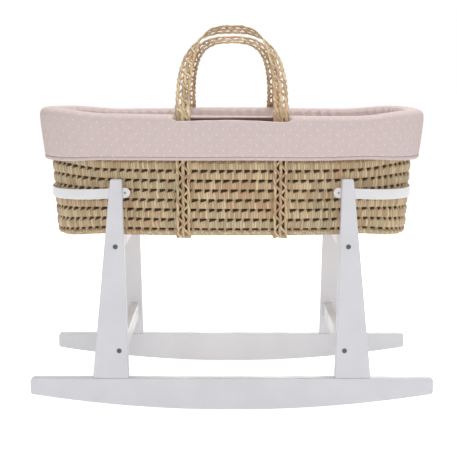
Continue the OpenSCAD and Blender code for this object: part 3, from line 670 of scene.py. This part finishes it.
def leaf_base(columns=640):
    """The flat base, and how far each point lies in a slot, which the finish paints as shade: rounds of the
    oval drawn in from the edge bulge down, with fewer strips in each, then a plain top runs back to the edge."""
    drawn = np.concatenate([np.linspace(base_edge, base_seam, base_rows),
                            np.linspace(base_seam, base_top_edge, base_top_rows)])[:, None]
    level, share = drawn / round_w, shares(columns)
    inner = np.floor(level[:, 0]).astype(int)
    strips = (base_strips * (1 - base_strips_lost * inner / base_rounds)).astype(int)
    strips = np.maximum(strips, base_strips_least)
    count = np.stack([uneven(share[0], n, base_strip_spread, 500 + k) for n, k in zip(strips, inner)])
    below = (np.arange(len(drawn)) < base_rows)[:, None]
    t = level % 1
    bulge = bulged(t) * round_bulge + base_strip_out * strip_relief(count, 61)
    z = np.where(below, base_low + base_hang - bulge, base_high)
    run = uneven(share, base_slots, slot_spread, 71) % 1
    slot = below * step(run, slot_start, base_slot_open) * step(run, base_slot_end, base_slot_close)
    slot = slot * (np.minimum(t, 1 - t) < base_slot_half)
    grid = on_oval(-drawn, z + base_slot_deep * slot, share)
    uv = paired(count + strip_numbers * np.floor(level), level)
    return surface(grid[:, :-1], around=True, closed=True, uv=uv), (slot + 0 * share)[:, :-1].ravel()


rounds, slot = leaf_base()
mark_painted_shade(piece("basket_base_rounds", [rounds], "basket", palm_leaf, ["basket_base"]), slot)


# Carrying straps: two flat open plaits of leaf cord, three runners laced by two more, from the front under
# the base and up the rear. They are stitched to the wall, and at the rim they come out through the liner and
# go on as the handles.
braid_half, runner_half, lacer_half, cord_half_t = 0.0155, 0.0039, 0.0031, 0.0017
runner_sway, runner_lift, runner_lag = 0.0005, 0.0004, 2
lace_pitch, lace_lift, lace_lag, lace_drift, drift_rate = 0.034, 0.0016, 0.9, 0.4, 37
cord_sides, cord_twist, cord_plies, ply_rate = 12, 55, 3, 18
first_ply, cord_numbers, cord_rows = 400, 40, 5
cord_core, ply_lobe, cord_swell, cord_lag = 0.84, 0.16, 0.07, 4
strap_low_y, strap_high_y, strap_low_z, strap_high_z = 0.2120, 0.2300, 0.3648, 0.6120
strap_turn, strap_turn_out, strap_full = 0.012, 0.001, 0.86
braid_tan, braid_straw = (0.49, 0.32, 0.18), (0.77, 0.585, 0.355)
palm_braid = leaf_finish("palm_braid", fibres=3.0, edge_shade=0.85, painted_slot_shade=False, tan=braid_tan,
                         straw=braid_straw)


def plait(line, wide, thick, seed, full=1.0):
    """A laced plait along a line: three cords run along it, and two more zigzag between neighbours, across
    by sin p and over and under by cos p for the phase p of the length travelled. Each cord is a flat bundle
    of leaf plies, a lobed ellipse in section that twists as it goes. full scales the cords' width."""
    way = lengths(line)
    turn = 2 * np.pi * np.linspace(0, 1, cord_sides + 1)[None, :]
    phase = 2 * np.pi * way / lace_pitch + seed + lace_drift * np.sin(way * drift_rate + seed)
    runner = braid_half - runner_half
    swings = [k * runner + runner_sway * np.sin(2 * phase + runner_lag * k) for k in (-1, 0, 1)]
    swings += [runner / 2 * (k + np.sin(phase + lace_lag * k)) for k in (-1, 1)]
    lifts = [runner_lift * np.sin(phase + runner_lag * k) for k in range(3)]
    lifts += [lace_lift * np.cos(phase + lace_lag * k) for k in (-1, 1)]
    parts = []
    for k, (swing, lift) in enumerate(zip(swings, lifts)):
        middle = line + wide * swing[:, None] + thick * lift[:, None]
        run = unit(np.gradient(middle, axis=0))
        side = unit(np.cross(thick, run))
        up = np.cross(run, side)
        twist = turn + (way * cord_twist + k)[:, None]
        lobe = cord_core + ply_lobe * np.abs(np.cos(cord_plies / 2 * twist))
        lobe = lobe + cord_swell * np.sin(2 * phase + cord_lag * k)[:, None]
        across = (runner_half if k < 3 else lacer_half) * full * lobe * np.cos(turn)
        over = cord_half_t * lobe * np.sin(turn)
        grid = middle[:, None] + side[:, None] * across[..., None] + up[:, None] * over[..., None]
        plies = cord_plies * twist / (2 * np.pi) + cord_numbers * k + first_ply
        uv = paired(plies, (way * ply_rate + cord_rows * k)[:, None])
        parts.append(surface(grid[:, :-1], around=True, caps=True, uv=uv))
    return parts


def taken(places, way, line, period=None):
    """The points of a line at places on the way along it."""
    return np.stack([np.interp(places, way, axis, period=period) for axis in line.T], -1)


def along(corners, spacing=0.0022):
    """Evenly spaced points on a line through corners, as arrays."""
    corners = np.array(corners, float)
    way = lengths(corners)
    return taken(np.linspace(0, way[-1], int(way[-1] / spacing)), way, corners)


strap_top, strap_bottom = (strap_high_y, strap_high_z), (0.0, strap_low_z)
turn_in = corner_arc(strap_top, (strap_low_y + strap_turn_out, strap_low_z), strap_bottom, strap_turn)
side_line = np.concatenate([[strap_top], turn_in, [strap_bottom]])
for name, x in (("left_carrying_strap", -strap_x), ("right_carrying_strap", strap_x)):
    line = along([(x, -y, z) for y, z in side_line] + [(x, y, z) for y, z in side_line[-2::-1]])
    wide = np.broadcast_to((1.0, 0, 0), line.shape)
    thick = np.cross(unit(np.gradient(line, axis=0)), wide)
    cords = plait(line, wide, thick, 3 * x, strap_full)
    piece(name + "_plait", cords, "basket", palm_braid, [name])


# Handles: the same plaits carried on over an arch from strap to strap, turned a quarter round at the top.
# They fold at the rim, where the plait bends, and at rest they lean in towards each other.
fold_y, fold_z, handle_rise, arch_power, arch_points = 0.229619, 0.6263, 0.228, 2.9, 300
leans = {"front": np.radians(39), "rear": np.radians(46)}
grip_draw = {"front": 0.12, "rear": 0.28}
stub, stub_gap, stub_points, foot_full, foot_full_z, foot_plain_z = 0.022, 0.0022, 10, 0.28, 0.004, 0.030
bend_low, bend_high, blend_low, blend_high = -0.004, 0.012, -0.008, 0.010


def handle_plait(lean, turn, seed, draw):
    """A handle: the arch x = w cos^(2/n), height = h sin^(2/n) in a plane that leans by an angle about the
    fold line, with a short upright stub under each foot. The plait's width turns from across to square with
    the arch by 45 (1 - cos 2a) degrees for the angle a from a foot, and draws in by a share d sin^2 a towards
    the grip; its cords are fuller at the feet."""
    angle = np.linspace(0, np.pi, 4001)
    arch = superellipse(angle, strap_x, handle_rise, arch_power)
    way = lengths(arch)
    even = np.linspace(0, way[-1], arch_points)
    arch, angle = taken(even, way, arch), np.interp(even, way, angle)
    foot = np.linspace(stub, stub_gap, stub_points)
    arch = np.concatenate([paired(strap_x, -foot), arch, paired(-strap_x, -foot[::-1])])
    angle = np.concatenate([0 * foot, angle, 0 * foot + np.pi])
    quarter = np.pi / 4 * (1 - np.cos(2 * np.minimum(angle, np.pi - angle)))
    up = arch[:, 1]
    tilt = lean * step(up, bend_low, bend_high)
    line = np.stack([arch[:, 0], -fold_y + np.where(up > 0, up, 0) * np.sin(tilt),
                     fold_z + np.where(up > 0, up * np.cos(tilt), up)], -1) * (1, turn, 1)
    run = unit(np.gradient(line, axis=0))
    face = np.stack([0 * tilt, turn * np.cos(tilt), -np.sin(tilt)], -1)
    wide = np.cross(face, run) * np.cos(quarter)[:, None] + face * np.sin(quarter)[:, None]
    drawn = 1 - draw * np.sin(angle)[:, None] ** 2
    full = drawn + foot_full * step(up, foot_plain_z, foot_full_z)[:, None]
    return plait(line, wide * drawn, np.cross(run, wide), seed, full)


for name, turn in (("front", 1), ("rear", -1)):
    cords = handle_plait(leans[name], turn, 1.7 * turn, grip_draw[name])
    handle = piece(f"{name}_handle_plait", cords, None, palm_braid, [f"{name}_handle"])
    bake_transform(handle)


# Skirt of the liner: a thin quilt of dusty pink cotton with small white dots, folded over the rim and hung
# outside it to a stitched hem. Between the handles' feet it is slit, and its lower lip dips away there.
# Shade is painted dark inside the slit and along the hem's groove.
skirt_low, skirt_level, skirt_t, skirt_mid_off, skirt_ease = 0.5312, 0.5672, 0.0018, 0.03, 0.12
plain_off = np.array([
    -4.0, -1.0, 4.0, 10.0, 16.0, 21.0, 24.0, 26.0, 27.5, 28.8, 29.9, 30.8, 31.6, 32.4, 33.1, 33.8, 34.5,
    35.2, 35.8, 36.0, 35.6, 34.6, 33.2, 31.6, 30.2, 28.8, 27.7, 27.2, 25.0, 26.9, 26.8, 25.4, 24.4,
    23.8]) / 1000
plain_z = np.array([
    618.5, 620.7, 622.2, 623.0, 623.2, 622.9, 622.4, 621.9, 621.4, 620.9, 620.3, 619.7, 619.0, 618.3,
    617.5, 616.6, 615.4, 613.9, 611.6, 607.6, 600.8, 591.0, 580.0, 569.0, 559.0, 549.6, 543.4, 538.7,
    537.4, 536.1, 532.8, 531.2, 531.6, 537.0]) / 1000
slit_off = np.array([
    -4.0, -1.0, 4.0, 9.0, 13.0, 15.6, 16.8, 17.3, 17.5, 17.6, 17.8, 20.5, 24.5, 27.4, 29.6, 31.6, 33.6,
    34.9, 35.6, 35.9]) / 1000
slit_z = np.array([
    618.5, 620.2, 621.2, 621.5, 621.0, 619.9, 618.3, 616.0, 612.6, 608.2, 603.6, 600.0, 601.4, 606.4,
    611.0, 613.0, 612.6, 610.8, 608.2, 605.0]) / 1000
slit_end, slit_full, slit_crease = 0.127, 0.114, 0.0013
slit_rows, slit_shade_z = slice(5, 15), (0.6196, 0.6176)
lip_start, lip_top, lip_past, lip_end = 11, 14, 15, 20
lip_rise, lip_rise_x, lip_dip, lip_dip_x = 0.0010, (0.050, 0.0), 0.0022, (0.045, 0.100)
rear_rise, rear_rise_x, rear_y, front_tilt, front_tilt_x = 0.0040, (0.17, 0.07), (-0.05, 0.15), 0.0026, 0.25
swing_top, swing_low, swing_off, hem_wave = 0.0006, 0.0010, (0.016, 0.03), 0.0011
hem_groove, hem_groove_shade = 28, 0.45
pink, pink_shade = (0.76, 0.635, 0.615), (0.69, 0.565, 0.55)
# The second colour is the painted shade inside the slit.
dot_white, slit_shade = (0.86, 0.80, 0.79), (0.17, 0.085, 0.078)


def skirt_sheet(columns=864):
    """The skirt: each column is a section over the rim, blended from the plain one to the slit one between
    the feet. The rim's height changes from side to side, and the cloth swings a little on its way round."""
    share, many = shares(columns), len(slit_off)
    x, y = (oval(skirt_mid_off, share)[..., k] for k in range(2))
    out, row = np.abs(x), np.arange(many)[:, None]
    slit = step(out, slit_end, slit_full)
    off, z = (np.repeat(rows[:, None], columns + 1, 1) for rows in (plain_off, plain_z))
    dip = lip_rise * step(out, *lip_rise_x) - lip_dip * step(out, *lip_dip_x)
    lip = step(row, lip_start, lip_top) * step(row, lip_end, lip_past)
    off[:many] += slit * (slit_off[:, None] - off[:many])
    z[:many] += slit * (slit_z[:, None] + lip * dip - z[:many])
    off[many] -= slit_crease * slit[0]
    down = step(plain_z, plain_z.max(), skirt_low)[:, None]
    swing = (swing_top + swing_low * down) * wander(share, 81, (5, 7, 11, 16, 23), 0.4)
    off = off + swing * step(plain_off, *swing_off)[:, None]
    rear = step(y, *rear_y)
    tilt = front_tilt * (1 - rear) * np.clip(x / front_tilt_x, -1, 1)
    lift = rear_rise * rear * step(out, *rear_rise_x) - tilt
    z = z + (1 - down) * lift + hem_wave * down * wander(share, 83, (2, 3, 5, 9), 0.6)
    uv = paired(share * (oval_round + skirt_ease), lengths(paired(plain_off, plain_z))[:, None])
    # Painted shade: dark inside the slit, behind its lip, and a softer line along the hem groove.
    painted_shade = np.zeros_like(z)
    painted_shade[slit_rows] = slit * step(z[slit_rows], *slit_shade_z)
    painted_shade[hem_groove] = hem_groove_shade
    return on_oval(off, z, share, skirt_level), uv, painted_shade


# Cotton: a plain weave from two crossed sets of waves, and dots in rows that stand half a gap aside in turn.
fluff_scale, fluff_detail, fluff_range, dot_range = 95.0, 6.0, (0.3, 0.7), (1.25, 0.75)
cotton_weave, given, put = effect("cotton_weave", ["Place"], ["Threads"], ["Height", "Fluff"])
calc = partial(maths, cotton_weave)
threads = [calc("MULTIPLY", axis, given["Threads"]) for axis in split(cotton_weave, given["Place"])]
warp, weft = (calc("SINE", axis) for axis in threads)
fluff = noise(cotton_weave, given["Place"], fluff_scale, fluff_detail)
send(cotton_weave, put, Height=calc("MULTIPLY_ADD", warp, weft, fluff),
     Fluff=ranged(cotton_weave, fluff, *fluff_range))

white_dots, given, put = effect("white_dots", ["Place"], ["Gap", "Rows", "Radius"], ["Dot"])
calc = partial(maths, white_dots)
u, v = split(white_dots, given["Place"])
row = calc("DIVIDE", v, given["Rows"])
aside = calc("MULTIPLY", calc("FLOORED_MODULO", calc("FLOOR", row), 2.0), 0.5)
place = calc("FRACT", calc("ADD", calc("DIVIDE", u, given["Gap"]), aside))
across = calc("MULTIPLY", calc("SUBTRACT", place, 0.5), given["Gap"])
down = calc("MULTIPLY", calc("SUBTRACT", calc("FRACT", row), 0.5), given["Rows"])
apart = calc("SQRT", calc("ADD", calc("MULTIPLY", across, across), calc("MULTIPLY", down, down)))
send(white_dots, put, Dot=ranged(white_dots, calc("DIVIDE", apart, given["Radius"]), *dot_range))

cotton_rough, cotton_specular, thread_count, cotton_bump, cotton_depth = 0.88, 0.2, 9000.0, 0.25, 0.0003
dot_gap, dot_rows, dot_r, dot_cover, dot_raised, shade_share = 0.0278, 0.0113, 0.0016, 0.9, 3.0, 0.45


def cotton(name, colour, shade, dots, place="UV"):
    """Woven cotton of a slightly uneven colour, with raised dots, and painted shade inside its slit and along
    its hem groove, as the mesh's attribute marks it.
    """
    made, tree, shader, coords = finish_of(name, cotton_rough, cotton_specular)
    weave = use(tree, cotton_weave, {"Place": coords[place], "Threads": thread_count})
    look = blended(tree, maths(tree, "MULTIPLY", weave["Fluff"], shade_share), colour, shade)
    height = weave["Height"]
    if dots:
        spacing = {"Place": coords["UV"], "Gap": dot_gap, "Rows": dot_rows, "Radius": dot_r}
        dot = use(tree, white_dots, spacing)["Dot"]
        look = blended(tree, maths(tree, "MULTIPLY", dot, dot_cover), look, dot_white)
        # Painted shade from the mesh's attribute, inside the slit and along the hem groove.
        inside = node(tree, "Attribute", {"attribute_name": "slot"}).outputs["Fac"]
        look = blended(tree, inside, look, slit_shade)
        height = maths(tree, "MULTIPLY_ADD", dot, dot_raised, height)
    wire(tree, shader, look, None, height, cotton_bump, cotton_depth)
    return made


pink_cotton = cotton("pink_cotton", pink, pink_shade, dots=True)


def thickened(made, thickness):
    """Gives a sheet its thickness, half to either side."""
    solid = made.modifiers.new("thickness", "SOLIDIFY")
    solid.thickness, solid.offset = thickness, 0.0


skirt_grid, uv, painted_shade = skirt_sheet()
way_round = np.arange(skirt_grid.shape[1]) / (skirt_grid.shape[1] - 1)
skirt = piece("liner_skirt_sheet", [surface(skirt_grid[:, :-1], around=True, uv=uv)], "basket", pink_cotton,
              ["liner_skirt"], solid=False)
mark_painted_shade(skirt, painted_shade[:, :-1].ravel())
thickened(skirt, skirt_t)


# Hem stitches: a row of short pink threads in the groove above the skirt's lower edge.
# Each is a small six-sided lens that lies along the groove.
stitches, stitch_half, stitch_r, stitch_out = 460, 0.0014, 0.00035, 0.0011
stitch_sides, stitch_rings, stitch_tip, stitch_ahead = 6, 5, 0.96, 0.001
thread_dark, thread_light, ply_scale = (0.58, 0.45, 0.44), (0.70, 0.57, 0.56), 1500.0
thread, tree, shader, coords = finish_of("pink_thread", roughness=0.8, specular=0.2)
ply = noise(tree, coords["Object"], ply_scale)
wire(tree, shader, blended(tree, ply, thread_dark, thread_light), height=ply)


def hem_stitches():
    """Stitches along the groove: rings of radius r sqrt(1 - s^2) at shares s of each one's half length."""
    middle = (np.arange(stitches) + 0.5) / stitches
    spot = taken(middle, way_round, skirt_grid[hem_groove])
    ahead = unit(taken(middle + stitch_ahead, way_round, skirt_grid[hem_groove], period=1) - spot)
    up = np.array((0, 0, 1.0))
    out = np.cross(ahead, up)
    s = np.linspace(-stitch_tip, stitch_tip, stitch_rings)[:, None, None]
    turn = np.arange(stitch_sides)[None, :, None] * 2 * np.pi / stitch_sides
    r = stitch_r * np.sqrt(1 - s**2)
    return [surface(p + stitch_out * o + a * s * stitch_half + o * r * np.cos(turn) + up * r * np.sin(turn),
                    around=True, caps=True) for p, a, o in zip(spot, ahead, out)]


sewn = piece("liner_hem_stitches", hem_stitches(), "basket", thread)


# Lining: a single sheet of the same cotton, gathered into the skirt's seam and let down inside the wall.
# Its gathers are close and even at the top seam and spread into loose folds below.
lining_t, lining_rows, lining_drop, lining_foot_off, lining_foot_z = 0.0012, 40, 0.24, -0.0172, 0.3812
hang_down, hang_off = [0, 0.04, 0.10, 1.0], [-0.0044, -0.0060, -0.0045, lining_foot_off]
gathers, gather_deep, gather_change, gather_start, gather_fade = 84, 0.0022, 0.0012, 0.05, 0.5
fold_drift, fold_slant, fold_turn, fold_out, seam_lap = 0.35, 0.03, 2.2, 0.0008, 0.0008
plain_pink = cotton("plain_pink", pink, pink_shade, dots=False)


def lining_sheet(columns=1152):
    """The lining: from the skirt's inner edge down to the base, with gathers a sin(n s) over the way round,
    whose phase drifts, deepest under the top seam and shallower below."""
    share, v = shares(columns), np.linspace(0, 1, lining_rows)[:, None]
    seam = np.interp(share, way_round, skirt_grid[0, :, 2]) + seam_lap
    foot = on_oval(lining_foot_off, lining_foot_z, share)[..., 2]
    drift = fold_drift * wander(share + fold_slant * v, 91, (3, 5, 8, 13), 0.4)
    deep = gather_deep + gather_change * wander(share, 93, (7, 12, 19), 0.3)
    deep = deep * step(v, 0.0, gather_start) * (1 - gather_fade * v)
    off = np.interp(v, hang_down, hang_off) + 0 * share
    off = off + deep * np.sin(2 * np.pi * gathers * share + fold_turn * drift * v) + fold_out * drift * v
    inside = np.concatenate([oval(off, share + 0 * v), (seam + (foot - seam) * v)[..., None]], -1)
    return surface(inside[:, :-1], around=True, uv=paired(share * oval_round, lining_drop * v))


lining = piece("liner_lining_sheet", [lining_sheet()], "basket", plain_pink, ["liner_lining"],
               solid=False)
thickened(lining, lining_t)


# Mattress: a thin fibre pad in an off-white cotton cover that its filling pushes out.
# Its sides draw in to the top and bottom seams, and rows of quilting cross its crowned top.
pad_off, pad_foot, pad_edge, pad_crown, pad_draw, pad_slope = -0.0185, 0.3808, 0.026, 0.008, 0.009, 0.120
pad_reach, pad_slack, pad_swell, pad_voxel, pad_pressure = 0.170, 0.002, 0.006, 0.006, 4.0
quilt_gap, quilt_depth, quilt_sharp, quilt_edge = 0.076, 0.0034, 8, (0.97, 0.85)
quilt_low, quilt_high = pad_foot + 0.018, pad_foot + 0.030
pad_pale, pad_shade = (0.86, 0.84, 0.80), (0.80, 0.77, 0.73)
pale_cotton = cotton("pale_cotton", pad_pale, pad_shade, dots=False, place="Object")


def pad_surface(columns=240, side_rows=9, top_rows=20):
    """The slack mattress: a flat foot, sides drawn in by d (2v - 1)^2, and a crown that rises by
    1 - (1 - v)^2 on its way in."""
    v, inward = np.linspace(0, 1, side_rows), pad_reach * np.linspace(0, 1, top_rows)[1:]
    edge = pad_off - pad_slack - pad_draw
    off = np.concatenate([edge - inward[::-1], edge + pad_draw * (1 - (2 * v - 1) ** 2), edge - inward])
    rise = pad_edge + pad_crown * (1 - (1 - np.clip(inward / pad_slope, 0, 1)) ** 2)
    z = pad_foot + np.concatenate([0 * inward, pad_edge * v, rise])
    off, z, share = np.broadcast_arrays(off[:, None], z[:, None], shares(columns)[:, :-1])
    return surface(np.concatenate([oval(off, share), z[..., None]], -1), around=True, caps=True)


def stuffed(spots, corners, frames=20):
    """Points and faces of a cover that its filling pushes out: the closed shape is remeshed evenly,
    swells as cloth under pressure, and no point moves by more than the swell."""
    cover = meshed("slack_cover", spots.tolist(), corners)
    even = cover.modifiers.new("even", "REMESH")
    even.mode, even.voxel_size = "VOXEL", pad_voxel
    made = bpy.data.meshes.new_from_object(cover.evaluated_get(bpy.context.evaluated_depsgraph_get()))
    cover.modifiers.clear()
    cover.data = made
    start = np.empty(len(made.vertices) * 3)
    made.vertices.foreach_get("co", start)
    end = start.copy()
    cloth = cover.modifiers.new("cloth", "CLOTH")
    cloth.settings.use_pressure, cloth.settings.uniform_pressure_force = True, pad_pressure
    cloth.settings.effector_weights.gravity = 0.0
    cloth.collision_settings.use_collision = False
    for k in range(1, frames + 1):
        bpy.context.scene.frame_set(k)
    swollen = cover.evaluated_get(bpy.context.evaluated_depsgraph_get()).to_mesh()
    swollen.vertices.foreach_get("co", end)
    bpy.context.scene.frame_set(1)
    start, move = start.reshape(-1, 3), (end - start).reshape(-1, 3)
    length = np.linalg.norm(move, axis=1)[:, None]
    faces = [list(face.vertices) for face in made.polygons]
    bpy.data.objects.remove(cover)
    return start + move * np.minimum(1, pad_swell / np.maximum(length, 1e-9)), faces


spots, faces = stuffed(*pad_surface()[:2])
across = np.abs(spots[:, :2] / (oval_l + pad_off, oval_w + pad_off))
past = (across**oval_power).sum(1) ** (1 / oval_power)
spots[:, :2] /= past.max()
quilting = (0.5 + 0.5 * np.cos(2 * np.pi * spots[:, 0] / quilt_gap)) ** quilt_sharp * step(past, *quilt_edge)
spots[:, 2] -= quilt_depth * quilting * step(spots[:, 2], quilt_low, quilt_high)
spots[:, 2] = fanned(spots[:, 0], np.maximum(spots[:, 2], pad_foot))
plain_uv = np.zeros((sum(len(face) for face in faces), 2))
pad = piece("mattress_pad", [(spots, faces, plain_uv)], "basket", pale_cotton, ["mattress"])
smooth = pad.modifiers.new("smooth", "SUBSURF")
smooth.levels = smooth.render_levels = 1


# Stage: a pale floor, a white surround and soft lamps overhead, at both sides, behind and in front, with a
# small one under the basket that lights the rear of the stand.
# To the camera, the floor and the surround are white apart from the object's own shadow.
floor_reach, floor_z, floor_grey = 30, -0.0005, (0.80, 0.80, 0.80, 1)
floor_glow, surround_glow, white = (0.36, 0.80), (0.28, 1.0), (1, 1, 1, 1)
middle = (0.0, 0.0, 0.4)
lamps = (("overhead_lamp", (0.3, 0.2, 3.2), middle, 2.6, 2.6, 64),
         ("right_lamp", (2.6, -2.0, 1.8), middle, 2.0, 2.0, 14),
         ("rear_lamp", (0.6, 3.4, 1.0), middle, 2.0, 2.0, 26),
         ("left_lamp", (-2.6, -1.6, 1.6), middle, 2.0, 2.0, 11),
         ("front_lamp", (0.0, -9.0, 1.1), middle, 2.4, 2.4, 104),
         ("rear_fill", (0.0, -0.10, 0.30), (0.0, 0.225, 0.06), 0.46, 0.06, 0.30))
camera_place, camera_tilt, camera_lens, camera_sensor = (-0.007, -2.817, 0.7233), 7.39, 98.2, 36.0


def seen_glow(tree, lighting, seen):
    """A strength that is one value for the rays that carry light, and another for camera, glossy and
    transmission rays."""
    path = node(tree, "LightPath").outputs
    eye = maths(tree, "MAXIMUM", path["Is Camera Ray"], path["Is Glossy Ray"])
    eye = maths(tree, "MAXIMUM", eye, path["Is Transmission Ray"])
    return ranged(tree, eye, 0.0, 1.0, lighting, seen)


floor_corners = [(x * floor_reach, y * floor_reach, floor_z) for x, y in ((-1, -1), (1, -1), (1, 1), (-1, 1))]
floor = meshed("floor", floor_corners, [(0, 1, 2, 3)])
floor_finish, tree, shader, coords = finish_of("floor_white", roughness=1.0, specular=0.0)
shader.inputs["Base Color"].default_value = floor_grey
shader.inputs["Emission Color"].default_value = white
tree.links.new(seen_glow(tree, *floor_glow), shader.inputs["Emission Strength"])
floor.data.materials.append(floor_finish)

world = bpy.data.worlds.new("surround")
bpy.context.scene.world = world
world.use_nodes = True
background = world.node_tree.nodes["Background"].inputs
background["Color"].default_value = white
world.node_tree.links.new(seen_glow(world.node_tree, *surround_glow), background["Strength"])

for name, place, aim, wide, high, power in lamps:
    lamp = bpy.data.lights.new(name, "AREA")
    lamp.shape, lamp.size, lamp.size_y, lamp.energy = "RECTANGLE", wide, high, power
    made = placed(name, lamp)
    made.location, made.visible_camera = place, False
    made.rotation_euler = (Vector(aim) - Vector(place)).to_track_quat("-Z", "Y").to_euler()

camera = placed("camera", bpy.data.cameras.new("camera"))
camera.data.lens, camera.data.sensor_width = camera_lens, camera_sensor
camera.location = camera_place
camera.rotation_euler = (np.radians(90 - camera_tilt), 0, 0)
bpy.context.scene.camera = camera
bpy.context.scene.view_settings.view_transform = "Standard"
